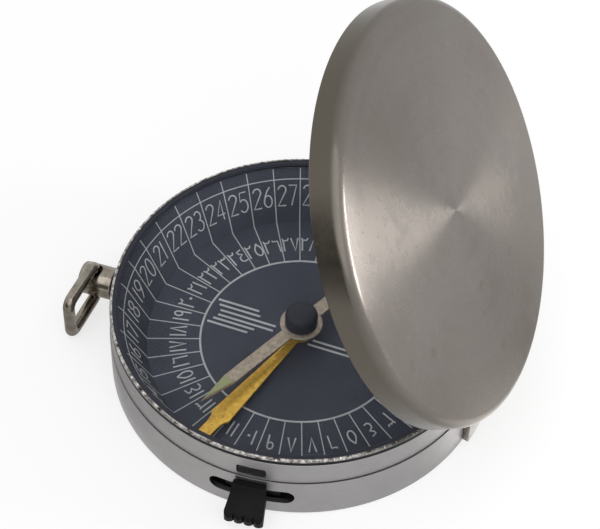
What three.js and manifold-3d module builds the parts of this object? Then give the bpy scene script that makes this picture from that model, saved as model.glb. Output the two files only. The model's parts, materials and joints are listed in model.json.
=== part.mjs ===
// Lidded pocket compass with a forty-part dial, a needle lock and a carrying bail.
// Millimetres, +Z up. The origin is the centre of the flat underside of the case.
// +X points at the lid hinge, -X at the bail post and -Y at the lock lever.
// Azimuths are in degrees, clockwise from +Y seen from above.

import * as THREE from "three";
import { mergeVertices } from "three/addons/utils/BufferGeometryUtils.js";
import Module from "manifold-3d";

const wasm = await Module();
wasm.setup();

// Case and bezel
const CASE_RADIUS = 25.15;
const CASE_WALL = 0.7;
const CASE_FLOOR = 0.8;
const BAND_HEIGHT = 6.75;
const RIM_HEIGHT = 11.37;
const BEZEL_INSET = 0.15;
const SPIGOT_DEPTH = 0.45;
const SPIGOT_WALL = 0.7;
const GROOVE = 0.15;
const EDGE_ROUND = 0.4;

// Crystal and its retaining ring
const CRYSTAL_THICKNESS = 0.55;
const RETAINER_HEIGHT = 0.25;
const RETAINER_WIDTH = 0.4;

// Dial and the sloping chapter ring round it
const DIAL_HEIGHT = 3.28;
const DIAL_THICKNESS = 0.6;
const DIAL_MARGIN = 4.73;
const DIAL_OVERLAP = 0.78;
const CHAPTER_WALL = 0.45;
const CHAPTER_LIP_WIDTH = 0.92;
const CHAPTER_LIP_RISE = 1.31;
const SUPPORT_WIDTH = 4;

// Needle and pivot
const NEEDLE_AZIMUTH = -152.5;
const NEEDLE_RISE = 3.35;
const NEEDLE_THICKNESS = 0.3;
const NEEDLE_WIDTH = 1.8;
const NEEDLE_REACH = 18.1;
const NEEDLE_RING_RADIUS = 2.82;
const LUME_LENGTH = 4.9;
const LUME_THICKNESS = 0.15;
const LUME_BORDER = 0.12;
const CAP_RADIUS = 2.15;
const CAP_HEIGHT = 2.3;
const HUB_RADIUS = 1.5;
const HUB_DROP = 0.9;
const JEWEL_HEIGHT = 0.65;
const JEWEL_RADIUS = 0.95;
const JEWEL_CUP = 0.35;
const PIVOT_RADIUS = 0.3;
const BUSH_RADIUS = 0.5;
const BUSH_FLANGE = 1.4;

// Needle lifter
const LIFTER_AZIMUTH = 200;
const LIFTER_RISE = 0.97;
const LIFTER_THICKNESS = 0.35;
const LIFTER_SHOULDER_WIDTH = 2.8;
const LIFTER_NECK_WIDTH = 1.7;
const LIFTER_WAIST_WIDTH = 0.9;
const LIFTER_EYE = 1.3;
const LIFTER_SHOULDER_INSET = 3.3;
const LIFTER_NECK_INSET = 1.7;
const LIFTER_SWING = 0.8;
const LIFTER_BARREL = 0.75;
const LIFTER_PIN_RADIUS = 0.35;
const LIFTER_EAR = 0.6;
const LIFTER_EAR_HALF = 0.65;

// Lock lever, its slot and the window above it
const LEVER_AZIMUTH = 177;
const LEVER_TRAVEL = 8.2;
const LEVER_ROOT_WIDTH = 4.2;
const LEVER_TIP_WIDTH = 5.1;
const LEVER_REACH = 3.9;
const LEVER_RIBS = 4;
const FLANGE_THICKNESS = 0.75;
const SLOT_HEIGHT = 2.5;
const SLOT_LENGTH = 11.1;
const SLOT_LEVEL = 3.55;
const TANG_WIDTH = 3.2;
const TANG_HEIGHT = 1.9;
const SLIDER_WALL = 1;
const SLIDER_HALF_ARC = 8.5;
const FINGER_HALF_ARC = 6;
const WINDOW_WIDTH = 3.8;
const WINDOW_HEIGHT = 1.65;
const PLUG_SEAT = 0.35;

// Lid and hinge
const LID_OVERHANG = 0.8;
const LID_DEPTH = 4;
const LID_WALL = 0.5;
const LID_ROUND = 1.3;
const LID_OPEN = 61.3;
const LID_GAP = 0.15;
const HINGE_OFFSET = 1.63;
const HINGE_DROP = 0.97;
const HINGE_WIDTH = 14;
const HINGE_MIDDLE = 5.2;
const KNUCKLE_RADIUS = 1.05;
const HINGE_PIN_RADIUS = 0.5;
const LEAF_THICKNESS = 0.8;
const LEAF_FOOT = 0.5;

// Bail post and bail
const POST_NUT_RADIUS = 1.6;
const POST_NUT_HEIGHT = 0.6;
const POST_RADIUS = 2.2;
const POST_REACH = 5.85;
const POST_NECK_RADIUS = 1.6;
const POST_NECK_LENGTH = 0.95;
const POST_TAIL_RADIUS = 1.2;
const POST_ROUND = 0.6;
const BAIL_WIRE = 0.8;
const BAIL_LENGTH = 7.4;
const BAIL_CORNER = 1.1;
const BAIL_SWING = 84;

// Clearances
const FIT = 0.05;
const SLIDE = 0.1;
const RUN = 0.2;
const CLEAR = 0.3;

const RING_SEGMENTS = 60;
const SMALL_SEGMENTS = 28;
const OVERRUN = 1;

const caseBore = CASE_RADIUS - CASE_WALL;
const bezelRadius = CASE_RADIUS - BEZEL_INSET;
const bezelBore = bezelRadius - CASE_WALL;
const bezelFoot = BAND_HEIGHT + FIT;
const spigotRadius = caseBore - FIT;
const spigotBore = spigotRadius - SPIGOT_WALL;
const spigotFoot = BAND_HEIGHT - SPIGOT_DEPTH;
const crystalTop = RIM_HEIGHT - RETAINER_HEIGHT;
const crystalFoot = crystalTop - CRYSTAL_THICKNESS;
const crystalRadius = bezelBore - SLIDE;
const dialEdge = CASE_RADIUS - DIAL_MARGIN;
const dialFoot = DIAL_HEIGHT - DIAL_THICKNESS;
const chapterTop = crystalFoot - FIT;
const chapterBreak = crystalRadius - CHAPTER_LIP_WIDTH;
const chapterBreakLevel = chapterTop - CHAPTER_LIP_RISE;
const needleFoot = DIAL_HEIGHT + NEEDLE_RISE;
const needleTop = needleFoot + NEEDLE_THICKNESS;
const capTop = needleTop + CAP_HEIGHT;
const hubFoot = needleFoot - HUB_DROP;
const jewelTop = needleTop + CAP_HEIGHT / 2;
const jewelFoot = jewelTop - JEWEL_HEIGHT;
const pivotTip = jewelFoot + JEWEL_CUP - FIT;
const lifterFoot = DIAL_HEIGHT + LIFTER_RISE;
const lifterAxis = lifterFoot + LIFTER_THICKNESS / 2;
const lifterHinge = caseBore - LIFTER_BARREL - LIFTER_SWING;
const slotFoot = SLOT_LEVEL - SLOT_HEIGHT / 2;
const slotTop = SLOT_LEVEL + SLOT_HEIGHT / 2;
const lidRadius = CASE_RADIUS + LID_OVERHANG;
const lidFoot = RIM_HEIGHT + LID_GAP;
const lidTop = lidFoot + LID_DEPTH;
const hingeX = CASE_RADIUS + HINGE_OFFSET;
const hingeZ = lidFoot - HINGE_DROP;
const postLevel = spigotFoot - SLIDE - POST_NUT_RADIUS;
const postEnd = CASE_RADIUS + POST_REACH;
const holeX = postEnd - POST_ROUND - 2 * BAIL_WIRE + CLEAR;
const bailHalf = POST_RADIUS + BAIL_WIRE + RUN;

/** Angle of an azimuth in radians. */
const rad = (degrees) => THREE.MathUtils.degToRad(degrees);

/** Point of the plan at a radius and an azimuth. */
const plan = (radius, azimuth) =>
  new THREE.Vector2(radius * Math.sin(rad(azimuth)), radius * Math.cos(rad(azimuth)));

/** Closed position-only geometry with merged corners and outward faces. */
function closed(geometry) {
  const bare = new THREE.BufferGeometry();
  bare.setAttribute("position", geometry.getAttribute("position").clone());
  if (geometry.index) bare.setIndex(geometry.index.clone());
  const merged = mergeVertices(bare, 1e-5);
  const p = merged.getAttribute("position");
  const index = merged.index.array;
  const corner = [new THREE.Vector3(), new THREE.Vector3(), new THREE.Vector3()];
  const kept = [];
  let volume = 0;
  for (let i = 0; i < index.length; i += 3) {
    const [a, b, c] = [index[i], index[i + 1], index[i + 2]];
    if (a === b || b === c || c === a) continue;
    [a, b, c].forEach((k, n) => corner[n].fromBufferAttribute(p, k));
    volume += corner[0].dot(corner[1].clone().cross(corner[2]));
    kept.push(a, b, c);
  }
  if (volume < 0) kept.reverse();
  merged.setIndex(kept);
  return merged;
}

/** Solid of a three.js geometry, ready to join and cut. */
function solid(geometry) {
  const shape = closed(geometry);
  const mesh = new wasm.Mesh({
    numProp: 3,
    vertProperties: new Float32Array(shape.getAttribute("position").array),
    triVerts: new Uint32Array(shape.index.array),
  });
  return new wasm.Manifold(mesh);
}

/** Geometry of a joined or cut solid. */
function geometryOf(body) {
  const mesh = body.getMesh();
  const geometry = new THREE.BufferGeometry();
  geometry.setAttribute("position", new THREE.BufferAttribute(mesh.vertProperties, 3));
  geometry.setIndex(new THREE.BufferAttribute(mesh.triVerts, 1));
  return geometry;
}

/** Body turned about Z from a profile of [radius, height] corners. */
function turned(profile, segments = RING_SEGMENTS) {
  const points = profile.map(([r, z]) => new THREE.Vector2(r, z));
  if (profile[0][0] > 0) points.push(points[0].clone());
  return new THREE.LatheGeometry(points, segments).rotateX(Math.PI / 2);
}

/** Plate of a plan outline between two heights. */
function plate(outline, foot, top) {
  const shape = outline instanceof THREE.Shape ? outline : new THREE.Shape(outline);
  const options = { depth: top - foot, bevelEnabled: false, curveSegments: SMALL_SEGMENTS / 2 };
  return new THREE.ExtrudeGeometry(shape, options).translate(0, 0, foot);
}

/** Ring sector between two radii, two azimuths and two heights. */
function sector(inner, outer, from, to, foot, top) {
  const steps = Math.max(4, Math.ceil(Math.abs(to - from) / 2.5));
  const outline = [];
  for (let i = 0; i <= steps; i += 1) outline.push(plan(inner, from + ((to - from) * i) / steps));
  for (let i = steps; i >= 0; i -= 1) outline.push(plan(outer, from + ((to - from) * i) / steps));
  return plate(outline, foot, top);
}

/** Bar of a side view in radius and height, as wide as given across the radius. */
function sideBar(outline, width) {
  const options = { depth: width, bevelEnabled: false, curveSegments: SMALL_SEGMENTS / 2 };
  const bar = new THREE.ExtrudeGeometry(outline, options).translate(0, 0, -width / 2);
  const across = new THREE.Vector3(1, 0, 0);
  const out = new THREE.Vector3(0, 1, 0);
  const up = new THREE.Vector3(0, 0, 1);
  return bar.applyMatrix4(new THREE.Matrix4().makeBasis(out, up, across));
}

/** Box between two corners. */
function block(low, high) {
  const size = high.map((v, i) => v - low[i]);
  const middle = high.map((v, i) => (v + low[i]) / 2);
  return new THREE.BoxGeometry(...size).translate(...middle);
}

/** Upright cylinder between two heights. */
function rod(radius, foot, top, segments = SMALL_SEGMENTS) {
  const cylinder = new THREE.CylinderGeometry(radius, radius, top - foot, segments);
  return cylinder.rotateX(Math.PI / 2).translate(0, 0, (foot + top) / 2);
}

/** Cylinder along Y, centred on a point of the XZ plane. */
function pin(radius, from, to, x, z) {
  const cylinder = new THREE.CylinderGeometry(radius, radius, to - from, SMALL_SEGMENTS);
  return cylinder.translate(x, (from + to) / 2, z);
}

/** Outline with rounded ends, centred on the origin. */
function roundEnded(length, height) {
  const r = height / 2;
  const half = length / 2 - r;
  const shape = new THREE.Shape();
  shape.moveTo(-half, -r);
  shape.lineTo(half, -r);
  shape.absarc(half, 0, r, -Math.PI / 2, Math.PI / 2, false);
  shape.lineTo(-half, r);
  shape.absarc(-half, 0, r, Math.PI / 2, (3 * Math.PI) / 2, false);
  return shape;
}

/** Round-ended bar lying along the radius between two radii, at a height. */
function radialSlot(length, height, inner, outer, level) {
  const options = { depth: outer - inner, bevelEnabled: false, curveSegments: 8 };
  const bar = new THREE.ExtrudeGeometry(roundEnded(length, height), options);
  return bar.rotateX(Math.PI / 2).translate(0, outer, level);
}

/** Corners of a quarter-round from one angle to another about a centre. */
function arc(r, z, radius, from, to, steps) {
  const corners = [];
  for (let i = 0; i <= steps; i += 1) {
    const angle = rad(from + ((to - from) * i) / steps);
    corners.push([r + radius * Math.cos(angle), z + radius * Math.sin(angle)]);
  }
  return corners;
}

const parts = new THREE.Group();

/** Adds a named piece with a material of its own. */
function add(name, geometry, color, roughness, metalness, extra = {}) {
  const material = new THREE.MeshStandardMaterial({ color, roughness, metalness, ...extra });
  const mesh = new THREE.Mesh(closed(geometry), material);
  mesh.name = name;
  parts.add(mesh);
  return mesh;
}

/** Turns a piece made along +Y to its azimuth. */
const aim = (geometry, azimuth) => geometry.rotateZ(-rad(azimuth));

// Case shell: a pressed cup with the lever slot and the post hole in its wall
const cup = solid(
  turned([
    [0, 0],
    ...arc(CASE_RADIUS - EDGE_ROUND, EDGE_ROUND, EDGE_ROUND, -90, 0, 3),
    [CASE_RADIUS, BAND_HEIGHT - GROOVE],
    [CASE_RADIUS - GROOVE, BAND_HEIGHT],
    [caseBore, BAND_HEIGHT],
    [caseBore, CASE_FLOOR],
    [0, CASE_FLOOR],
  ]),
);
const slotCut = radialSlot(
  SLOT_LENGTH,
  SLOT_HEIGHT,
  caseBore - 3 * OVERRUN,
  CASE_RADIUS + OVERRUN,
  SLOT_LEVEL,
);
const postHole = rod(POST_TAIL_RADIUS + FIT, 0, 2 * OVERRUN + CASE_WALL)
  .rotateY(-Math.PI / 2)
  .translate(OVERRUN - caseBore, 0, postLevel);
const caseShell = cup.subtract(solid(aim(slotCut, LEVER_AZIMUTH))).subtract(solid(postHole));
add("case_shell", geometryOf(caseShell), 0xc4c5c6, 0.22, 1);

// Bezel ring: upper band with a spigot inside the case and a window above the lever
const windowFoot = bezelFoot + GROOVE + CLEAR;
const windowTop = windowFoot + WINDOW_HEIGHT;
const band = solid(
  turned([
    [spigotBore, spigotFoot],
    [spigotRadius, spigotFoot],
    [spigotRadius, bezelFoot],
    [bezelRadius - GROOVE, bezelFoot],
    [bezelRadius, bezelFoot + GROOVE],
    ...arc(bezelRadius - EDGE_ROUND, RIM_HEIGHT - EDGE_ROUND, EDGE_ROUND, 0, 90, 3),
    [bezelBore, RIM_HEIGHT],
    [bezelBore, bezelFoot + GROOVE],
    [spigotBore, bezelFoot],
  ]),
);
const windowCut = block(
  [-WINDOW_WIDTH / 2, bezelBore - OVERRUN, windowFoot],
  [WINDOW_WIDTH / 2, bezelRadius + OVERRUN, windowTop],
);
const seatArc = THREE.MathUtils.radToDeg((WINDOW_WIDTH / 2 + 2 * CLEAR) / bezelBore);
const seatFoot = windowFoot - RUN;
const seatTop = windowTop + RUN;
const seatFace = bezelBore + PLUG_SEAT;
const seatCut = sector(bezelBore - SLIDE, seatFace, -seatArc, seatArc, seatFoot, seatTop);
const bezel = band
  .subtract(solid(aim(windowCut, LEVER_AZIMUTH)))
  .subtract(solid(aim(seatCut, LEVER_AZIMUTH)));
add("bezel_ring", geometryOf(bezel), 0xbfc1c4, 0.2, 1);

// Window plug: dark T-section block seated in a pocket behind the window
const plugHalf = WINDOW_WIDTH / 2 - SLIDE;
const plugFace = bezelRadius - RUN;
const plug = solid(
  block([-plugHalf, bezelBore + SLIDE, windowFoot + SLIDE], [plugHalf, plugFace, windowTop - SLIDE]),
);
const plugArc = seatArc - THREE.MathUtils.radToDeg(SLIDE / bezelBore);
const plugFlange = solid(
  sector(bezelBore + FIT, seatFace - FIT, -plugArc, plugArc, seatFoot + FIT, seatTop - FIT),
);
add("window_plug", aim(geometryOf(plug.add(plugFlange)), LEVER_AZIMUTH), 0x1b1b1d, 0.55, 0);

// Crystal and the ring that retains it
add(
  "crystal",
  turned([
    [0, crystalFoot],
    [crystalRadius, crystalFoot],
    [crystalRadius, crystalTop],
    [0, crystalTop],
  ]),
  0xf4f8fa,
  0.03,
  0,
  { transparent: true, opacity: 0.12 },
);
const retainerOuter = bezelBore - FIT;
add(
  "crystal_retainer",
  turned([
    [retainerOuter - RETAINER_WIDTH, crystalTop],
    [retainerOuter, crystalTop],
    [retainerOuter, RIM_HEIGHT],
    [retainerOuter - RETAINER_WIDTH / 2, RIM_HEIGHT],
  ]),
  0xe6e6e4,
  0.25,
  1,
);

// Dial plate, the ring that carries it and the chapter ring standing on it
add(
  "dial_support",
  turned([
    [dialEdge - SLIDE - SUPPORT_WIDTH, CASE_FLOOR],
    [dialEdge - SLIDE, CASE_FLOOR],
    [dialEdge - SLIDE, dialFoot],
    [dialEdge - SLIDE - SUPPORT_WIDTH, dialFoot],
  ]),
  0x2b2d30,
  0.6,
  0,
);
add(
  "dial_plate",
  turned([
    [BUSH_RADIUS + FIT, dialFoot],
    [dialEdge + DIAL_OVERLAP, dialFoot],
    [dialEdge + DIAL_OVERLAP, DIAL_HEIGHT],
    [BUSH_RADIUS + FIT, DIAL_HEIGHT],
  ]),
  0x3a4049,
  0.5,
  0.1,
);
const chapter = solid(
  turned([
    [dialEdge, DIAL_HEIGHT],
    [dialEdge + CHAPTER_WALL, DIAL_HEIGHT],
    [chapterBreak + CHAPTER_WALL, chapterBreakLevel],
    [crystalRadius, chapterTop - CHAPTER_WALL],
    [crystalRadius, chapterTop],
    [chapterBreak, chapterBreakLevel],
  ]),
);
const neckNotch = block(
  [-LIFTER_NECK_WIDTH / 2 - CLEAR, dialEdge - OVERRUN, DIAL_HEIGHT - OVERRUN],
  [LIFTER_NECK_WIDTH / 2 + CLEAR, chapterBreak, lifterFoot + LIFTER_THICKNESS + CLEAR],
);
const chapterCut = chapter.subtract(solid(aim(neckNotch, LIFTER_AZIMUTH)));
add("chapter_ring", geometryOf(chapterCut), 0x3c424b, 0.5, 0.1);

// Pivot: brass bush flanged under the dial, and a pointed steel pin in it
add(
  "pivot_bush",
  turned(
    [
      [PIVOT_RADIUS + FIT, dialFoot - 2 * CLEAR],
      [BUSH_FLANGE, dialFoot - 2 * CLEAR],
      [BUSH_FLANGE, dialFoot],
      [BUSH_RADIUS, dialFoot],
      [BUSH_RADIUS, hubFoot],
      [PIVOT_RADIUS + FIT, hubFoot],
    ],
    SMALL_SEGMENTS,
  ),
  0xb89545,
  0.35,
  1,
);
add(
  "pivot_pin",
  turned(
    [
      [0, dialFoot - 2 * CLEAR],
      [PIVOT_RADIUS, dialFoot - 2 * CLEAR],
      [PIVOT_RADIUS, hubFoot + OVERRUN],
      [0, pivotTip],
    ],
    SMALL_SEGMENTS,
  ),
  0xb9bcc0,
  0.2,
  1,
);

// Needle: flat bar with a ring at its middle, a lume-filled tip, a dark cap and a jewel
const halfBar = NEEDLE_WIDTH / 2;
const tipRoot = NEEDLE_REACH - LUME_LENGTH;
const barOutline = new THREE.Shape([
  new THREE.Vector2(-halfBar, tipRoot),
  new THREE.Vector2(-halfBar, halfBar - NEEDLE_REACH),
  new THREE.Vector2(0, -NEEDLE_REACH),
  new THREE.Vector2(halfBar, halfBar - NEEDLE_REACH),
  new THREE.Vector2(halfBar, tipRoot),
  new THREE.Vector2(0, NEEDLE_REACH),
]);
const bar = solid(plate(barOutline, needleFoot, needleTop))
  .add(solid(rod(NEEDLE_RING_RADIUS, needleFoot, needleTop, 40)))
  .subtract(solid(rod(HUB_RADIUS + FIT, needleFoot - OVERRUN, needleTop + OVERRUN)));
add("needle_bar", aim(geometryOf(bar), NEEDLE_AZIMUTH), 0xa59b91, 0.38, 0.85);
const lumeHalf = halfBar - LUME_BORDER;
const lumeOutline = [
  new THREE.Vector2(-lumeHalf, tipRoot),
  new THREE.Vector2(lumeHalf, tipRoot),
  new THREE.Vector2(0, NEEDLE_REACH - 5 * LUME_BORDER),
];
const lume = plate(lumeOutline, needleTop, needleTop + LUME_THICKNESS);
add("needle_lume", aim(lume, NEEDLE_AZIMUTH), 0xa3b184, 0.7, 0);
add(
  "needle_cap",
  turned(
    [
      [0, jewelTop + FIT],
      [JEWEL_RADIUS + FIT, jewelTop + FIT],
      [JEWEL_RADIUS + FIT, hubFoot],
      [HUB_RADIUS, hubFoot],
      [HUB_RADIUS, needleTop],
      [CAP_RADIUS, needleTop],
      ...arc(CAP_RADIUS - EDGE_ROUND, capTop - EDGE_ROUND, EDGE_ROUND, 0, 90, 3),
      [0, capTop],
    ],
    SMALL_SEGMENTS,
  ),
  0x17181a,
  0.3,
  0,
);
add(
  "cap_jewel",
  turned(
    [
      [0, jewelFoot + JEWEL_CUP],
      [JEWEL_RADIUS / 2, jewelFoot],
      [JEWEL_RADIUS, jewelFoot],
      [JEWEL_RADIUS, jewelTop],
      [0, jewelTop],
    ],
    SMALL_SEGMENTS,
  ),
  0x8e2a3c,
  0.1,
  0,
);

// Needle lifter: brass strip with an eye round the pivot, rocking on a pin beside the dial
const shoulder = dialEdge - LIFTER_SHOULDER_INSET;
const neckStart = dialEdge - LIFTER_NECK_INSET;
const halfSide = [
  [LIFTER_WAIST_WIDTH / 2, BUSH_RADIUS + CLEAR],
  [LIFTER_SHOULDER_WIDTH / 2, shoulder],
  [LIFTER_NECK_WIDTH / 2 + 0.22, shoulder + 0.35],
  [LIFTER_NECK_WIDTH / 2 + 0.06, shoulder + 0.85],
  [LIFTER_NECK_WIDTH / 2, neckStart],
  [LIFTER_NECK_WIDTH / 2, lifterHinge],
];
const lifterOutline = [
  ...halfSide.map(([t, r]) => new THREE.Vector2(t, r)),
  ...halfSide.reverse().map(([t, r]) => new THREE.Vector2(-t, r)),
];
const lifterTop = lifterFoot + LIFTER_THICKNESS;
const barrel = pin(LIFTER_BARREL, -LIFTER_NECK_WIDTH / 2, LIFTER_NECK_WIDTH / 2, 0, 0)
  .rotateZ(-Math.PI / 2)
  .translate(0, lifterHinge, lifterAxis);
const pinReach = LIFTER_NECK_WIDTH / 2 + SLIDE + LIFTER_EAR;
const pinBore = pin(LIFTER_PIN_RADIUS + FIT, -pinReach - OVERRUN, pinReach + OVERRUN, 0, 0)
  .rotateZ(-Math.PI / 2)
  .translate(0, lifterHinge, lifterAxis);
const lifter = solid(plate(lifterOutline, lifterFoot, lifterTop))
  .add(solid(rod(LIFTER_EYE, lifterFoot, lifterTop)))
  .add(solid(barrel))
  .subtract(solid(rod(BUSH_RADIUS + CLEAR, lifterFoot - OVERRUN, lifterTop + OVERRUN)))
  .subtract(solid(pinBore));
add("needle_lifter", aim(geometryOf(lifter), LIFTER_AZIMUTH), 0xd0a545, 0.35, 1);
const lifterPin = pin(LIFTER_PIN_RADIUS, -pinReach, pinReach, 0, 0)
  .rotateZ(-Math.PI / 2)
  .translate(0, lifterHinge, lifterAxis);
add("lifter_pin", aim(lifterPin, LIFTER_AZIMUTH), 0xb4b7ba, 0.3, 1);
const earTop = lifterAxis + LIFTER_EAR_HALF;
const earInner = lifterHinge - LIFTER_EAR_HALF;
const earOuter = lifterHinge + LIFTER_EAR_HALF;
const bracketFoot = block(
  [-pinReach, earInner, CASE_FLOOR],
  [pinReach, earOuter, CASE_FLOOR + 2 * CLEAR],
);
const earLeft = block([-pinReach, earInner, CASE_FLOOR], [LIFTER_EAR - pinReach, earOuter, earTop]);
const earRight = block([pinReach - LIFTER_EAR, earInner, CASE_FLOOR], [pinReach, earOuter, earTop]);
const bracket = solid(bracketFoot).add(solid(earLeft)).add(solid(earRight)).subtract(solid(pinBore));
add("lifter_bracket", aim(geometryOf(bracket), LIFTER_AZIMUTH), 0xa9abad, 0.4, 1);

// Lock slider: arc inside the wall with a finger that runs under the lifter's neck
const sliderOuter = caseBore - RUN;
const sliderInner = sliderOuter - SLIDER_WALL;
const fingerInner = dialEdge + DIAL_OVERLAP + RUN;
const fingerOuter = earInner - RUN;
const fingerTop = lifterFoot - CLEAR - FIT;
const fingerFoot = fingerTop - 3 * CLEAR;
const fingerEnd = LIFTER_AZIMUTH - LEVER_AZIMUTH + LEVER_TRAVEL + 3;
const slider = solid(
  sector(sliderInner, sliderOuter, -SLIDER_HALF_ARC, SLIDER_HALF_ARC, CASE_FLOOR + SLIDE, slotTop),
)
  .add(
    solid(
      sector(
        fingerInner,
        sliderInner + RUN,
        -FINGER_HALF_ARC,
        FINGER_HALF_ARC,
        fingerFoot,
        fingerTop,
      ),
    ),
  )
  .add(solid(sector(fingerInner, fingerOuter, 0, fingerEnd, fingerFoot, fingerTop)))
  .subtract(
    solid(
      radialSlot(
        TANG_WIDTH + 2 * SLIDE,
        TANG_HEIGHT + 2 * SLIDE,
        sliderInner - OVERRUN / 2,
        sliderOuter + OVERRUN,
        SLOT_LEVEL,
      ),
    ),
  );
add("lock_slider", aim(geometryOf(slider), LEVER_AZIMUTH), 0x8f9194, 0.4, 1);

// Lock lever: flange on the wall, a sloping thumb paddle with a ribbed end, and a tang
const flangeInner = CASE_RADIUS + SLIDE;
const flangeOuter = flangeInner + FLANGE_THICKNESS;
const flangeFoot = slotFoot - CLEAR;
const flangeTop = slotTop + 1.2;
const leverEnd = CASE_RADIUS + LEVER_REACH;
const leverSide = new THREE.Shape([
  new THREE.Vector2(flangeInner, flangeFoot),
  new THREE.Vector2(flangeOuter + 0.3, flangeFoot + 0.15),
  new THREE.Vector2(leverEnd - 0.55, flangeFoot - 0.3),
  new THREE.Vector2(leverEnd, flangeFoot),
  new THREE.Vector2(leverEnd, flangeFoot + 0.85),
  new THREE.Vector2(leverEnd - 0.4, flangeFoot + 1.3),
  new THREE.Vector2(flangeOuter + 0.6, flangeTop - 1.3),
  new THREE.Vector2(flangeOuter + 0.1, flangeTop - 0.7),
  new THREE.Vector2(flangeOuter, flangeTop),
  new THREE.Vector2(flangeInner, flangeTop),
]);
const ribRadius = LEVER_TIP_WIDTH / LEVER_RIBS / 2;
const leverPlan = new THREE.Shape();
leverPlan.moveTo(-LEVER_ROOT_WIDTH / 2, flangeInner);
leverPlan.lineTo(LEVER_ROOT_WIDTH / 2, flangeInner);
leverPlan.lineTo(LEVER_TIP_WIDTH / 2, leverEnd - ribRadius);
for (let i = 0; i < LEVER_RIBS; i += 1) {
  const middle = LEVER_TIP_WIDTH / 2 - (2 * i + 1) * ribRadius;
  leverPlan.absarc(middle, leverEnd - ribRadius, ribRadius, 0, Math.PI, false);
}
const tang = radialSlot(TANG_WIDTH, TANG_HEIGHT, sliderInner + RUN, flangeInner + RUN, SLOT_LEVEL);
const lever = solid(sideBar(leverSide, LEVER_TIP_WIDTH + OVERRUN))
  .intersect(solid(plate(leverPlan, -OVERRUN, flangeTop + OVERRUN)))
  .add(solid(tang));
add("lock_lever", aim(geometryOf(lever), LEVER_AZIMUTH), 0x1a1a1b, 0.45, 0);

// Case half of the hinge: curved leaf on the wall, two knuckles and the pin
const hingeHalf = HINGE_WIDTH / 2;
const middleHalf = HINGE_MIDDLE / 2;
const leafInner = CASE_RADIUS + FIT;
const leafOuter = leafInner + LEAF_THICKNESS;
const leafArc = THREE.MathUtils.radToDeg(Math.asin(hingeHalf / leafOuter));
const leafTop = hingeZ - KNUCKLE_RADIUS - CLEAR;
const hornFoot = leafTop - KNUCKLE_RADIUS;
const wallCore = rod(leafInner, -OVERRUN, lidTop, RING_SEGMENTS);
const boreY = pin(HINGE_PIN_RADIUS + SLIDE, -hingeHalf - OVERRUN, hingeHalf + OVERRUN, hingeX, hingeZ);
let caseLeaf = solid(sector(leafInner, leafOuter, 90 - leafArc, 90 + leafArc, LEAF_FOOT, leafTop));
for (const side of [-1, 1]) {
  const near = Math.min(side * (middleHalf + RUN), side * hingeHalf);
  const far = Math.max(side * (middleHalf + RUN), side * hingeHalf);
  const horn = block([leafInner - 2 * OVERRUN, near, hornFoot], [hingeX, far, hingeZ]);
  caseLeaf = caseLeaf
    .add(solid(horn).subtract(solid(wallCore)))
    .add(solid(pin(KNUCKLE_RADIUS, near, far, hingeX, hingeZ)));
}
add("hinge_case_leaf", geometryOf(caseLeaf.subtract(solid(boreY))), 0xb5b4b1, 0.3, 1);
const hingePin = pin(HINGE_PIN_RADIUS, -hingeHalf, hingeHalf, hingeX, hingeZ);
add("hinge_pin", hingePin, 0xc0c0be, 0.25, 1);

// Lid, drawn closed about its hinge line and turned open
const lid = new THREE.Group();
lid.position.set(hingeX, 0, hingeZ);
lid.rotation.y = rad(LID_OPEN);
parts.add(lid);
const innerRound = LID_ROUND - LID_WALL;
const lidShell = turned([
  [0, lidTop - LID_WALL],
  ...arc(lidRadius - LID_ROUND, lidTop - LID_ROUND, innerRound, 90, 0, 3),
  [lidRadius - LID_WALL, lidFoot],
  [lidRadius, lidFoot],
  ...arc(lidRadius - LID_ROUND, lidTop - LID_ROUND, LID_ROUND, 0, 90, 4),
  [0, lidTop],
]);
lid.add(add("lid_shell", lidShell.translate(-hingeX, 0, -hingeZ), 0x8c857e, 0.35, 1));
const lidLeafInner = lidRadius + SLIDE;
const lidLeafArc = THREE.MathUtils.radToDeg(Math.asin(middleHalf / lidLeafInner));
const lidLeafTop = lidTop - LID_ROUND;
const lidLeafOuter = lidLeafInner + LEAF_THICKNESS;
const lidCore = rod(lidLeafInner, 0, lidTop + OVERRUN, RING_SEGMENTS);
const lidHorn = block(
  [lidLeafInner - OVERRUN, -middleHalf, hingeZ],
  [hingeX, middleHalf, lidFoot + HINGE_DROP],
);
const lidLeaf = solid(
  sector(lidLeafInner, lidLeafOuter, 90 - lidLeafArc, 90 + lidLeafArc, lidFoot, lidLeafTop),
)
  .add(solid(lidHorn).subtract(solid(lidCore)))
  .add(solid(pin(KNUCKLE_RADIUS, -middleHalf, middleHalf, hingeX, hingeZ)))
  .subtract(solid(boreY));
lid.add(add("hinge_lid_leaf", geometryOf(lidLeaf).translate(-hingeX, 0, -hingeZ), 0xb5b4b1, 0.3, 1));

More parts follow.
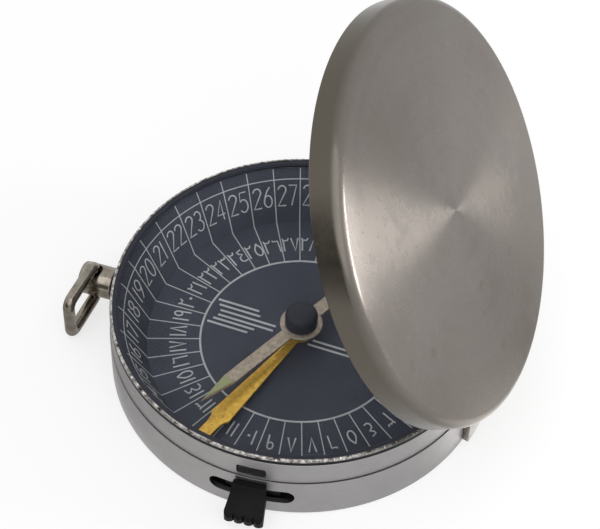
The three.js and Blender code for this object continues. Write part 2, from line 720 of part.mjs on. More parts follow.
// Bail post: turned stud through the wall with an upright cross hole, and its nut
const toPost = (geometry) => geometry.rotateY(-Math.PI / 2).translate(-CASE_RADIUS, 0, postLevel);
const tailEnd = -CASE_WALL - SLIDE - POST_NUT_HEIGHT - CLEAR;
const postNeck = SLIDE + POST_NECK_LENGTH;
const stud = toPost(
  turned(
    [
      [0, tailEnd],
      [POST_TAIL_RADIUS, tailEnd],
      [POST_TAIL_RADIUS, SLIDE],
      [POST_NECK_RADIUS, SLIDE],
      [POST_NECK_RADIUS, postNeck],
      ...arc(POST_RADIUS - CLEAR, postNeck + CLEAR, CLEAR, -90, 0, 2),
      ...arc(POST_RADIUS - POST_ROUND, POST_REACH - POST_ROUND, POST_ROUND, 0, 90, 4),
      [0, POST_REACH],
    ],
    SMALL_SEGMENTS,
  ),
);
const holeRadius = BAIL_WIRE + CLEAR + FIT;
const crossHole = rod(holeRadius, postLevel - POST_RADIUS - OVERRUN, postLevel + POST_RADIUS + OVERRUN);
const post = solid(stud).subtract(solid(crossHole.translate(-holeX, 0, 0)));
add("bail_post", geometryOf(post), 0x97908a, 0.15, 1);
const nutFace = -CASE_WALL - SLIDE;
const nut = turned(
  [
    [POST_TAIL_RADIUS + FIT, nutFace - POST_NUT_HEIGHT],
    [POST_NUT_RADIUS, nutFace - POST_NUT_HEIGHT],
    [POST_NUT_RADIUS, nutFace],
    [POST_TAIL_RADIUS + FIT, nutFace],
  ],
  SMALL_SEGMENTS,
);
add("post_nut", toPost(nut), 0xa9a9a8, 0.35, 1);

// Bail: wire stirrup whose two ends meet inside the cross hole
const route = [
  [0, FIT],
  [0, (bailHalf - BAIL_CORNER) / 2],
  ...arc(BAIL_CORNER, bailHalf - BAIL_CORNER, BAIL_CORNER, 180, 90, 5),
  ...arc(BAIL_LENGTH - BAIL_CORNER, bailHalf - BAIL_CORNER, BAIL_CORNER, 90, 0, 6),
  ...arc(BAIL_LENGTH - BAIL_CORNER, BAIL_CORNER - bailHalf, BAIL_CORNER, 0, -90, 6),
  ...arc(BAIL_CORNER, BAIL_CORNER - bailHalf, BAIL_CORNER, -90, -180, 5),
  [0, (BAIL_CORNER - bailHalf) / 2],
  [0, -FIT],
];
const swing = rad(BAIL_SWING);
const bailPath = new THREE.CatmullRomCurve3(
  route.map(
    ([u, v]) => new THREE.Vector3(-holeX - u * Math.cos(swing), -u * Math.sin(swing), postLevel + v),
  ),
);
const wire = new THREE.Shape().absarc(0, 0, BAIL_WIRE, 0, 2 * Math.PI, false);
const bail = new THREE.ExtrudeGeometry(wire, {
  steps: 44,
  curveSegments: 5,
  bevelEnabled: false,
  extrudePath: bailPath,
});
add("bail", bail, 0x8f8880, 0.15, 1);

parts.name = "compass";
export default parts;
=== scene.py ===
"""Lidded pocket compass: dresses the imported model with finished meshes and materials.

Sizes are in millimetres and angles in degrees, except where a docstring says otherwise. The
frame has +Z up, the lid's hinge at +X, the bail at -X and the lock lever near -Y.
"""

from __future__ import annotations

import json
import logging
import math
from dataclasses import dataclass, field
from enum import Enum
from typing import Callable, Sequence

import bmesh
import bpy
from bpy.types import ID, Material, Mesh, Node, NodeOutputs, NodeSocket, NodeTree, Object
from mathutils import Matrix, Vector

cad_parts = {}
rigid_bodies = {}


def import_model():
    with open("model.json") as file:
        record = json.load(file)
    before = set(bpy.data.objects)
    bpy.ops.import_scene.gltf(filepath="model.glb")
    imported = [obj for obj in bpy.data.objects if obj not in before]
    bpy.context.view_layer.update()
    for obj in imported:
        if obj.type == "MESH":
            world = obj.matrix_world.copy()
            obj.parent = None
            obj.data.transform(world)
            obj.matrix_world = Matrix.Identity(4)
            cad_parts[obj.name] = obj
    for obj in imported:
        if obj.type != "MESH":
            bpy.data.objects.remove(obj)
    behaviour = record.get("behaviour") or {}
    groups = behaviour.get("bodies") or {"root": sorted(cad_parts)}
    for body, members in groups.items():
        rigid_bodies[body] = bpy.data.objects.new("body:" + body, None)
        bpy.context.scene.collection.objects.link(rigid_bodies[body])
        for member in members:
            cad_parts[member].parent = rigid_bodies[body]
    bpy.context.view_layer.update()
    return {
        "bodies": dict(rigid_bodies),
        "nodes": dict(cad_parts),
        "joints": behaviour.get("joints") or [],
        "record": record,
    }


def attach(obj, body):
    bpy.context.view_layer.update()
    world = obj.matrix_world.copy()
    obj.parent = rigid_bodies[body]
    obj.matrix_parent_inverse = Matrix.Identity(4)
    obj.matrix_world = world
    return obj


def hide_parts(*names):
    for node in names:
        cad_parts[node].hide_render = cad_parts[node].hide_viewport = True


LOG = logging.getLogger("compass")

MM = 0.001
CASE_RADIUS = 25.15
RIM_LEVEL = 11.37
SHOULDER_LEVEL = 10.57
POST_LEVEL = 4.6
TURN_MAP = "turn"
GLOW = "glow"
ROUND_STEPS = 240
SMALL_STEPS = 64
HOLE_SIDES = 40
CRISP_ABOVE = 32.0
CUT_MARGIN = 1.0
WELD = 0.002
FLAT_WITHIN = 0.6
SOFT_ABOVE = 30.0
SOFT_SEGMENTS = 3
SOFT_CRISP_ABOVE = 40.0

Pair = tuple[float, float]
Profile = list[Pair]
Stroke = list[Pair]
Glyph = tuple[float, list[Stroke]]
Place3 = tuple[float, float, float]
Colour = tuple[float, float, float]
Place = Callable[[float, float, float], Vector]
CardRows = tuple[list[Vector], list[Vector], list[float]]
Inputs = dict[str | int, object]


class Body(Enum):
    """The rigid bodies of the compass."""

    CASE = "case"
    LID = "lid"
    LOCK = "lock"
    LIFTER = "lifter"
    NEEDLE = "needle"
    BAIL = "bail_loop"


class Slot(Enum):
    """The material slots of the compass."""

    CASE = "polished_case"
    RING = "bright_ring"
    BLACK = "black_plastic"
    GLASS = "clear_glass"
    DARK = "dark_plastic"
    DIAL = "slate_dial"
    BRASS = "brass"
    STEEL = "steel"
    NICKEL = "needle_nickel"
    LUME = "lume"
    JEWEL = "jewel"
    HINGE = "hinge_steel"
    LID = "brushed_lid"
    BAIL = "dark_nickel"


class Socket(Enum):
    """The kinds of socket that the node groups have."""

    NUMBER = "NodeSocketFloat"
    COUNT = "NodeSocketInt"
    SHAPE = "NodeSocketGeometry"
    FINISH = "NodeSocketMaterial"


class Numerals(Enum):
    """The two sets of numerals on the dial."""

    OUTER = "outer"
    INNER = "inner"


# Mesh building


def polar(radius: float, azimuth: float, level: float) -> Vector:
    """Finds a point round the dial.

    Args:
        radius: Distance from the pivot, in millimetres.
        azimuth: Degrees clockwise from +Y, seen from above.
        level: Height above the base, in millimetres.

    Returns:
        The point in metres.
    """
    angle = math.radians(azimuth)
    return Vector((radius * math.sin(angle), radius * math.cos(angle), level)) * MM


def arc(
    cx: float, cy: float, rx: float, ry: float, start: float, end: float, steps: int = 10
) -> Profile:
    """Lists points along an elliptical arc.

    Args:
        cx: Centre, first coordinate.
        cy: Centre, second coordinate.
        rx: Half-width.
        ry: Half-height.
        start: First angle in degrees.
        end: Last angle in degrees.
        steps: Number of chords.

    Returns:
        The points from start to end.
    """
    turn = [math.radians(start + (end - start) * i / steps) for i in range(steps + 1)]
    return [(cx + rx * math.cos(a), cy + ry * math.sin(a)) for a in turn]


def round_hole(cx: float, cy: float, radius: float) -> Profile:
    """Lists the corners of a round hole's outline.

    Args:
        cx: Centre, first coordinate.
        cy: Centre, second coordinate.
        radius: Its radius.

    Returns:
        The corners, once round.
    """
    return arc(cx, cy, radius, radius, 0, 360 - 360 / HOLE_SIDES, HOLE_SIDES - 1)


def put(name: str, data: ID) -> Object:
    """Links a mesh, a lamp or a camera into the scene as a new object at the origin.

    Args:
        name: The object's name.
        data: What it holds.

    Returns:
        The new object.
    """
    thing = bpy.data.objects.new(name, data)
    bpy.context.scene.collection.objects.link(thing)
    return thing


def settle(name: str, build: bmesh.types.BMesh) -> Object:
    """Turns a finished build into a piece.

    Args:
        name: The piece's name.
        build: The build, which is freed.

    Returns:
        The piece.
    """
    mesh = bpy.data.meshes.new(name)
    build.to_mesh(mesh)
    build.free()
    return put(name, mesh)


def shade(mesh: Mesh, angle: float = CRISP_ABOVE) -> None:
    """Shades a mesh smooth, with edges sharper than the angle left crisp.

    Args:
        mesh: The mesh.
        angle: The limit in degrees.
    """
    mesh.polygons.foreach_set("use_smooth", [True] * len(mesh.polygons))
    mesh.set_sharp_from_angle(angle=math.radians(angle))
    mesh.update()


def lathe(name: str, profile: Profile, steps: int = ROUND_STEPS, angle: float = CRISP_ABOVE) -> Object:
    """Turns a closed section, or one that starts and ends on the axis, about the Z axis.

    Args:
        name: The piece's name.
        profile: Radius and height pairs in millimetres.
        steps: Facets round the turn.
        angle: Edges sharper than this many degrees stay crisp.

    Returns:
        The turned piece, with a map of turn fraction and length along the section.
    """
    build = bmesh.new()
    on_axis = [r < WELD for r, _ in profile]
    rows: list[list[bmesh.types.BMVert]] = []
    for (r, z), axis in zip(profile, on_axis):
        if axis:
            rows.append([build.verts.new((0, 0, z * MM))] * steps)
            continue
        rows.append([build.verts.new(polar(r, 360 * i / steps, z)) for i in range(steps)])
    along = [0.0]
    for (r0, z0), (r1, z1) in zip(profile, profile[1:] + profile[:1]):
        along.append(along[-1] + math.hypot(r1 - r0, z1 - z0))
    turn_map = build.loops.layers.uv.new(TURN_MAP)
    last = len(profile) if not on_axis[0] else len(profile) - 1
    for j in range(last):
        k = (j + 1) % len(profile)
        for i in range(steps):
            n = (i + 1) % steps
            ring = [
                (rows[j][i], i, j),
                (rows[j][n], i + 1, j),
                (rows[k][n], i + 1, j + 1),
                (rows[k][i], i, j + 1),
            ]
            kept = [item for at, item in enumerate(ring) if item[0] not in [x[0] for x in ring[:at]]]
            face = build.faces.new([item[0] for item in kept])
            for loop, (_, turn, row) in zip(face.loops, kept):
                loop[turn_map].uv = (turn / steps, along[row])
    bmesh.ops.recalc_face_normals(build, faces=build.faces)
    piece = settle(name, build)
    shade(piece.data, angle)
    return piece


def prism(name: str, outline: Profile, low: float, high: float, place: Place) -> Object:
    """Extrudes a flat outline.

    Args:
        name: The piece's name.
        outline: The outline's corners in millimetres.
        low: Where the extrusion starts, in millimetres.
        high: Where it ends.
        place: Maps the outline's two coordinates and the depth to a point.

    Returns:
        The extruded piece.
    """
    build = bmesh.new()
    near = [build.verts.new(place(a, b, low)) for a, b in outline]
    far = [build.verts.new(place(a, b, high)) for a, b in outline]
    build.faces.new(near)
    build.faces.new(far)
    for i in range(len(outline)):
        n = (i + 1) % len(outline)
        build.faces.new((near[i], near[n], far[n], far[i]))
    bmesh.ops.recalc_face_normals(build, faces=build.faces)
    return settle(name, build)


def facing(azimuth: float) -> Place:
    """Makes a mapping from sideways, up and outward to a point at an azimuth.

    Args:
        azimuth: Degrees clockwise from +Y.

    Returns:
        The mapping, in millimetres in and metres out.
    """
    turn = Matrix.Rotation(-math.radians(azimuth), 3, "Z")
    return lambda side, up, out: turn @ Vector((side, out, up)) * MM


def bake(piece: Object) -> Object:
    """Turns a piece's modifiers into its plain mesh.

    Args:
        piece: The piece, whose modifiers are removed.

    Returns:
        The same piece.
    """
    view = bpy.context.evaluated_depsgraph_get()
    mesh = bpy.data.meshes.new_from_object(piece.evaluated_get(view), depsgraph=view)
    mesh.name = piece.name
    piece.modifiers.clear()
    old = piece.data
    piece.data = mesh
    bpy.data.meshes.remove(old)
    return piece


def cut(piece: Object, *tools: Object, angle: float = CRISP_ABOVE) -> Object:
    """Cuts tools out of a piece and removes them.

    Args:
        piece: The piece.
        tools: The solids to take away.
        angle: Edges sharper than this many degrees stay crisp.

    Returns:
        The same piece.
    """
    for tool in tools:
        step = piece.modifiers.new("cut", "BOOLEAN")
        step.operation = "DIFFERENCE"
        step.solver = "EXACT"
        step.object = tool
    bake(piece)
    for tool in tools:
        mesh = tool.data
        bpy.data.objects.remove(tool)
        bpy.data.meshes.remove(mesh)
    shade(piece.data, angle)
    return piece


def refined(name: str, node: Object, edge: float, angle: float) -> Object:
    """Copies a solid, joins its triangles and softens its edges.

    Args:
        name: The new piece's name.
        node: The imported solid.
        edge: Width of the softened edges in millimetres.
        angle: Edges sharper than this many degrees are softened.

    Returns:
        The new piece.
    """
    build = bmesh.new()
    build.from_mesh(node.data)
    bmesh.ops.remove_doubles(build, verts=build.verts, dist=WELD * MM)
    bmesh.ops.dissolve_limit(
        build, angle_limit=math.radians(FLAT_WITHIN), verts=build.verts, edges=build.edges
    )
    piece = settle(name, build)
    soften = piece.modifiers.new("soften", "BEVEL")
    soften.width = edge * MM
    soften.segments = SOFT_SEGMENTS
    soften.limit_method = "ANGLE"
    soften.angle_limit = math.radians(angle)
    soften.use_clamp_overlap = True
    bake(piece)
    shade(piece.data, SOFT_CRISP_ABOVE)
    return piece


def wire_frame(name: str, strokes: Sequence[Sequence[Vector]], closed: bool = False) -> Object:
    """Makes a mesh of bare edges along strokes.

    Args:
        name: The object's name.
        strokes: Runs of points in metres.
        closed: Joins each run's end to its start.

    Returns:
        The object.
    """
    points: list[Vector] = []
    edges: list[tuple[int, int]] = []
    for run in strokes:
        first = len(points)
        points.extend(run)
        edges.extend((first + i, first + i + 1) for i in range(len(run) - 1))
        if closed:
            edges.append((first + len(run) - 1, first))
    mesh = bpy.data.meshes.new(name)
    mesh.from_pydata(points, edges, [])
    return put(name, mesh)


# Node trees


class Sheet:
    """A node tree with short calls that add and join nodes.

    The constants are the places of a Mix node's colours among its sockets.
    """

    FIRST_COLOUR = 6
    SECOND_COLOUR = 7
    MIXED_COLOUR = 2

    def __init__(self, tree: NodeTree) -> None:
        """Starts from an empty tree."""
        self.tree = tree
        tree.nodes.clear()

    def feed(self, node: Node, inputs: Inputs) -> None:
        """Joins sockets to a node's inputs, or sets them.

        Args:
            node: The node.
            inputs: A socket, a number or a colour for each input.
        """
        for key, value in inputs.items():
            socket = node.inputs[key]
            if isinstance(value, NodeSocket):
                self.tree.links.new(value, socket)
            else:
                socket.default_value = (*value, 1.0) if socket.type == "RGBA" else value

    def add(self, kind: str, inputs: Inputs | None = None, **settings: object) -> Node:
        """Adds a node.

        Args:
            kind: The node's type.
            inputs: A socket, a number or a colour for each input that has one.
            settings: Properties of the node.

        Returns:
            The node.
        """
        node = self.tree.nodes.new(kind)
        for key, value in settings.items():
            setattr(node, key, value)
        self.feed(node, inputs or {})
        return node

    def math(self, operation: str, *values: object) -> NodeSocket:
        """Adds a Math node.

        Args:
            operation: Its operation.
            values: Sockets or numbers.

        Returns:
            The result.
        """
        return self.add("ShaderNodeMath", dict(enumerate(values)), operation=operation).outputs[0]

    def ramp(
        self, value: NodeSocket, low: float, high: float, to_low: float, to_high: float
    ) -> NodeSocket:
        """Maps a value from one range to another.

        Args:
            value: The value.
            low: Start of its range.
            high: End of its range.
            to_low: Result at the start.
            to_high: Result at the end.

        Returns:
            The mapped value.
        """
        inputs = {"Value": value, "From Min": low, "From Max": high, "To Min": to_low, "To Max": to_high}
        return self.add("ShaderNodeMapRange", inputs).outputs["Result"]

    def blend(
        self, factor: NodeSocket, first: object, second: object, share: float | None = None
    ) -> NodeSocket:
        """Mixes two colours.

        Args:
            factor: How much of the second.
            first: A socket or a colour.
            second: A socket or a colour.
            share: How much of the second there is where the factor is 1.

        Returns:
            The mixed colour.
        """
        part = factor if share is None else self.math("MULTIPLY", factor, share)
        inputs = {"Factor": part, self.FIRST_COLOUR: first, self.SECOND_COLOUR: second}
        return self.add("ShaderNodeMix", inputs, data_type="RGBA").outputs[self.MIXED_COLOUR]

    def noise(self, where: NodeSocket, scale: object, detail: float, rough: float = 0.5) -> NodeSocket:
        """Adds a noise texture.

        Args:
            where: The coordinates.
            scale: A socket or a number.
            detail: Layers of finer noise.
            rough: How strong the finer layers are.

        Returns:
            The noise value.
        """
        inputs = {"Vector": where, "Scale": scale, "Detail": detail, "Roughness": rough}
        return self.add("ShaderNodeTexNoise", inputs).outputs[0]

    def group(self, tree: NodeTree, **values: object) -> NodeOutputs:
        """Places a node group with its own values.

        Args:
            tree: The group.
            values: Its inputs by name, with underscores for spaces.

        Returns:
            What the group gives.
        """
        inputs = {key.replace("_", " "): value for key, value in values.items()}
        return self.add("ShaderNodeGroup", inputs, node_tree=tree).outputs

    def here(self) -> NodeSocket:
        """Gives the point's place in its object, in metres."""
        return self.add("ShaderNodeTexCoord").outputs["Object"]

    def turn_map(self) -> NodeSocket:
        """Gives the turn fraction and the length along a turned section."""
        return self.add("ShaderNodeUVMap", uv_map=TURN_MAP).outputs[0]

    def parts(self, vector: NodeSocket) -> NodeOutputs:
        """Splits a vector into X, Y and Z."""
        return self.add("ShaderNodeSeparateXYZ", {0: vector}).outputs


def new_group(
    kind: str, name: str, inputs: dict[str, tuple[Socket, object]], outputs: dict[str, Socket]
) -> tuple[Sheet, NodeOutputs]:
    """Starts a node group.

    Args:
        kind: The tree's type.
        name: The group's name.
        inputs: Socket and default by name.
        outputs: Socket by name.

    Returns:
        The group's sheet and what the group is given.
    """
    tree = bpy.data.node_groups.new(name, kind)
    for key, (socket, value) in inputs.items():
        entry = tree.interface.new_socket(key, in_out="INPUT", socket_type=socket.value)
        if value is not None:
            entry.default_value = value
    for key, socket in outputs.items():
        tree.interface.new_socket(key, in_out="OUTPUT", socket_type=socket.value)
    sheet = Sheet(tree)
    return sheet, sheet.add("NodeGroupInput").outputs


def new_material(name: str) -> tuple[Material, Sheet]:
    """Starts a material.

    Args:
        name: The material's name.

    Returns:
        The material and its empty sheet.
    """
    material = bpy.data.materials.new(name)
    material.use_nodes = True
    return material, Sheet(material.node_tree)


class ShapeTree:
    """A Geometry Nodes tree that shapes a piece and gives it its finish."""

    def __init__(self, name: str, **numbers: tuple[Socket, object]) -> None:
        """Builds the tree.

        Args:
            name: The tree's name.
            numbers: Socket and default of each number that it is given.
        """
        inputs = {"Piece": (Socket.SHAPE, None), **numbers, "Finish": (Socket.FINISH, None)}
        sheet, given = new_group("GeometryNodeTree", name, inputs, {"Result": Socket.SHAPE})
        whole = sheet.add("GeometryNodeRealizeInstances", {"Geometry": self._shape(sheet, given)})
        finish = {"Geometry": whole.outputs[0], "Material": given["Finish"]}
        dressed = sheet.add("GeometryNodeSetMaterial", finish)
        sheet.add("NodeGroupOutput", {"Result": dressed.outputs[0]})
        self.tree = sheet.tree

    def _shape(self, sheet: Sheet, given: NodeOutputs) -> NodeSocket:
        """Shapes the piece.

        Args:
            sheet: The tree's sheet.
            given: The piece and the numbers.

        Returns:
            The shape.
        """
        raise NotImplementedError

    def _set(self, piece: Object, values: dict[str, object]) -> None:
        """Adds the tree to a piece and sets its inputs by identifier.

        Args:
            piece: The piece.
            values: Inputs by name.
        """
        step = piece.modifiers.new(self.tree.name, "NODES")
        step.node_group = self.tree
        for item in self.tree.interface.items_tree:
            if item.in_out == "INPUT" and item.name in values:
                step[item.identifier] = values[item.name]


class RunAlongPath(ShapeTree):
    """Geometry Nodes that sweep a round section along bare edges."""

    def __init__(self) -> None:
        """Builds the tree."""
        super().__init__("Run along path", Radius=(Socket.NUMBER, 0.001), Sides=(Socket.COUNT, 8))

    def _shape(self, sheet: Sheet, given: NodeOutputs) -> NodeSocket:
        """Sweeps the section.

        Args:
            sheet: The tree's sheet.
            given: The edges, and the section's radius and sides.

        Returns:
            The swept shape.
        """
        path = sheet.add("GeometryNodeMeshToCurve", {"Mesh": given["Piece"]})
        circle = {"Radius": given["Radius"], "Resolution": given["Sides"]}
        section = sheet.add("GeometryNodeCurvePrimitiveCircle", circle)
        run = {"Curve": path.outputs[0], "Profile Curve": section.outputs[0], "Fill Caps": True}
        sweep = sheet.add("GeometryNodeCurveToMesh", run)
        return sheet.add("GeometryNodeSetShadeSmooth", {"Geometry": sweep.outputs[0]}).outputs[0]

    def set_on(self, piece: Object, radius: float, sides: int, finish: Material) -> None:
        """Adds the sweep to a piece.

        Args:
            piece: An object of bare edges.
            radius: The section's radius in millimetres.
            sides: The section's sides.
            finish: The material.
        """
        self._set(piece, {"Radius": radius * MM, "Sides": sides, "Finish": finish})


class RepeatRound(ShapeTree):
    """Geometry Nodes that repeat a piece round the Z axis."""

    def __init__(self) -> None:
        """Builds the tree."""
        super().__init__("Repeat round", Count=(Socket.COUNT, 12))

    def _shape(self, sheet: Sheet, given: NodeOutputs) -> NodeSocket:
        """Sets a copy at each step of the turn.

        Args:
            sheet: The tree's sheet.
            given: The piece and the count of copies.

        Returns:
            The copies.
        """
        points = sheet.add("GeometryNodeMeshLine", {"Count": given["Count"], "Offset": (0, 0, 0)})
        index = sheet.add("GeometryNodeInputIndex").outputs["Index"]
        share = sheet.math("DIVIDE", index, given["Count"])
        turn = sheet.add("ShaderNodeCombineXYZ", {"Z": sheet.math("MULTIPLY", share, 2 * math.pi)})
        rotation = sheet.add("FunctionNodeEulerToRotation", {0: turn.outputs[0]}).outputs[0]
        copies = {"Points": points.outputs[0], "Instance": given["Piece"], "Rotation": rotation}
        return sheet.add("GeometryNodeInstanceOnPoints", copies).outputs["Instances"]

    def set_on(self, piece: Object, count: int, finish: Material) -> None:
        """Adds the ring of copies to a piece.

        Args:
            piece: The object to repeat.
            count: Copies round the turn.
            finish: The material.
        """
        self._set(piece, {"Count": count, "Finish": finish})


# Finishes


class Effects:
    """Shader node groups that several finishes share.

    The scratches' turns are in radians.
    """

    FINE_STEP = 7.0
    BROAD_SHARE = 0.65
    FINE_SHARE = 0.35
    MARK_BAND = (0.36, 0.66)
    DOT_BAND = (0.1, 0.24)
    PATCH_SCALE = 420.0
    PATCH_BAND = (0.5, 0.62)
    WIDE_STRETCH = (1.2, 1.2, 0.035)
    SCRATCH_TURNS = ((0.3, 0.5, 0.6), (1.2, -0.4, 2.1))
    SCRATCH_STRETCH = (1.0, 34.0, 34.0)
    SCRATCH_BAND = (0.68, 0.73)

    def __init__(self) -> None:
        """Builds each group once."""
        self.smudge = self._smudge()
        self.grain = self._grain()
        self.rings = self._rings()
        self.scratches = self._scratches()

    @staticmethod
    def _start(name: str, defaults: dict[str, float], *results: str) -> tuple[Sheet, NodeOutputs]:
        """Starts a group of numbers.

        Args:
            name: The group's name.
            defaults: Its inputs.
            results: Its outputs.

        Returns:
            The group's sheet and what the group is given.
        """
        inputs = {key: (Socket.NUMBER, value) for key, value in defaults.items()}
        return new_group("ShaderNodeTree", name, inputs, dict.fromkeys(results, Socket.NUMBER))

    def _smudge(self) -> NodeTree:
        """Builds soft handling marks, as a roughness and a mask.

        Returns:
            The group.
        """
        defaults = {"Scale": 300.0, "Clean": 0.1, "Marked": 0.3}
        sheet, given = self._start("Handling marks", defaults, "Roughness", "Mask")
        where = sheet.here()
        broad = sheet.noise(where, given["Scale"], detail=3.0)
        fine_scale = sheet.math("MULTIPLY", given["Scale"], self.FINE_STEP)
        fine = sheet.noise(where, fine_scale, detail=4.0, rough=0.6)
        broad_part = sheet.math("MULTIPLY", broad, self.BROAD_SHARE)
        fine_part = sheet.math("MULTIPLY", fine, self.FINE_SHARE)
        mask = sheet.ramp(sheet.math("ADD", broad_part, fine_part), *self.MARK_BAND, 0.0, 1.0)
        spread = sheet.math("SUBTRACT", given["Marked"], given["Clean"])
        rough = sheet.math("ADD", given["Clean"], sheet.math("MULTIPLY", mask, spread))
        sheet.add("NodeGroupOutput", {"Roughness": rough, "Mask": mask})
        return sheet.tree

    def _grain(self) -> NodeTree:
        """Builds a fine grain with scattered specks.

        Returns:
            The group.
        """
        defaults = {"Scale": 4000.0, "Speck scale": 900.0}
        sheet, given = self._start("Grain and specks", defaults, "Height", "Specks")
        where = sheet.here()
        fine = sheet.noise(where, given["Scale"], detail=5.0, rough=0.65)
        spots = {"Vector": where, "Scale": given["Speck scale"]}
        cells = sheet.add("ShaderNodeTexVoronoi", spots, feature="F1")
        dots = sheet.ramp(cells.outputs["Distance"], *self.DOT_BAND, 1.0, 0.0)
        patches = sheet.noise(where, self.PATCH_SCALE, detail=2.0)
        patchy = sheet.ramp(patches, *self.PATCH_BAND, 0.0, 1.0)
        specks = sheet.math("MULTIPLY", dots, patchy)
        sheet.add("NodeGroupOutput", {"Height": fine, "Specks": specks})
        return sheet.tree

    def _rings(self) -> NodeTree:
        """Builds the fine rings that turning leaves, from the turn map.

        Returns:
            The group.
        """
        defaults = {"Rings": 14.0, "Break up": 0.7}
        sheet, given = self._start("Turned rings", defaults, "Height", "Tone")
        run = sheet.parts(sheet.turn_map())
        angle = sheet.math("MULTIPLY", run["X"], 2 * math.pi)
        spot = {"Z": sheet.math("MULTIPLY", run["Y"], given["Rings"])}
        for operation, axis in (("COSINE", "X"), ("SINE", "Y")):
            spot[axis] = sheet.math("MULTIPLY", sheet.math(operation, angle), given["Break up"])
        close = sheet.add("ShaderNodeCombineXYZ", spot).outputs[0]
        stretch = {0: close, 1: self.WIDE_STRETCH}
        wide = sheet.add("ShaderNodeVectorMath", stretch, operation="MULTIPLY").outputs[0]
        fine = sheet.noise(close, 1.0, detail=3.0, rough=0.7)
        tone = sheet.noise(wide, 1.0, detail=2.0)
        sheet.add("NodeGroupOutput", {"Height": fine, "Tone": tone})
        return sheet.tree

    def _scratches(self) -> NodeTree:
        """Builds sparse hairline scratches in two directions.

        Returns:
            The group.
        """
        sheet, given = self._start("Hairline scratches", {"Scale": 120.0}, "Mask")
        where = sheet.here()
        lines = []
        for turn in self.SCRATCH_TURNS:
            lay = {"Vector": where, "Rotation": turn, "Scale": self.SCRATCH_STRETCH}
            laid = sheet.add("ShaderNodeMapping", lay).outputs[0]
            streak = sheet.noise(laid, given["Scale"], detail=2.0)
            lines.append(sheet.ramp(streak, *self.SCRATCH_BAND, 0.0, 1.0))
        sheet.add("NodeGroupOutput", {"Mask": sheet.math("MAXIMUM", *lines)})
        return sheet.tree


@dataclass(frozen=True)
class Finish:
    """A finish, with the start and the end that every material shares."""

    colour: Colour

    def material(self, name: str, effects: Effects) -> Material:
        """Builds the material.

        Args:
            name: The material's name.
            effects: The shared groups.

        Returns:
            The material.
        """
        material, sheet = new_material(name)
        material.diffuse_color = (*self.colour, 1.0)
        skin = sheet.add("ShaderNodeBsdfPrincipled", {"Base Color": self.colour})
        surface = self._coat(sheet, skin, effects)
        sheet.add("ShaderNodeOutputMaterial", {"Surface": surface})
        return material

    def _coat(self, sheet: Sheet, skin: Node, effects: Effects) -> NodeSocket:
        """Dresses the plain shader.

        Args:
            sheet: The material's sheet.
            skin: The shader.
            effects: The shared groups.

        Returns:
            The surface.
        """
        raise NotImplementedError

    def _toned(self, gain: float) -> Colour:
        """Makes the colour brighter or darker."""
        return tuple(min(1.0, part * gain) for part in self.colour)

    @staticmethod
    def _bump(sheet: Sheet, height: NodeSocket, depth: float) -> NodeSocket:
        """Turns a height into a normal.

        Args:
            sheet: The material's sheet.
            height: The height from 0 to 1.
            depth: The relief in millimetres.

        Returns:
            The normal.
        """
        inputs = {"Strength": 1.0, "Distance": depth * MM, "Height": height}
        return sheet.add("ShaderNodeBump", inputs).outputs[0]


@dataclass(frozen=True)
class PlatedMetal(Finish):
    """Plated metal with handling marks, tarnish and hairlines."""

    clean: float = 0.12
    marked: float = 0.26
    scale: float = 160.0
    tarnish: Colour = (0.4, 0.38, 0.36)
    tarnish_share: float = 0.35
    relief: float = 0.002
    relief_scale: float = 900.0
    scratch_step: float = 0.8
    scratch_gain: float = 1.25
    scratch_share: float = 0.35
    scratch_rough: float = 0.12

    def _coat(self, sheet: Sheet, skin: Node, effects: Effects) -> NodeSocket:
        """Marks, tarnishes and scratches the metal.

        Args:
            sheet: The material's sheet.
            skin: The shader.
            effects: The shared groups.

        Returns:
            The surface.
        """
        marks = sheet.group(effects.smudge, Scale=self.scale, Clean=self.clean, Marked=self.marked)
        lines = sheet.group(effects.scratches, Scale=self.scale * self.scratch_step)
        fine = sheet.group(effects.grain, Scale=self.relief_scale)
        dulled = sheet.blend(marks["Mask"], self.colour, self.tarnish, self.tarnish_share)
        bright = self._toned(self.scratch_gain)
        coarse = sheet.math("MULTIPLY", lines["Mask"], self.scratch_rough)
        inputs = {
            "Metallic": 1.0,
            "Base Color": sheet.blend(lines["Mask"], dulled, bright, self.scratch_share),
            "Roughness": sheet.math("ADD", marks["Roughness"], coarse),
            "Normal": self._bump(sheet, fine["Height"], self.relief),
        }
        sheet.feed(skin, inputs)
        return skin.outputs[0]


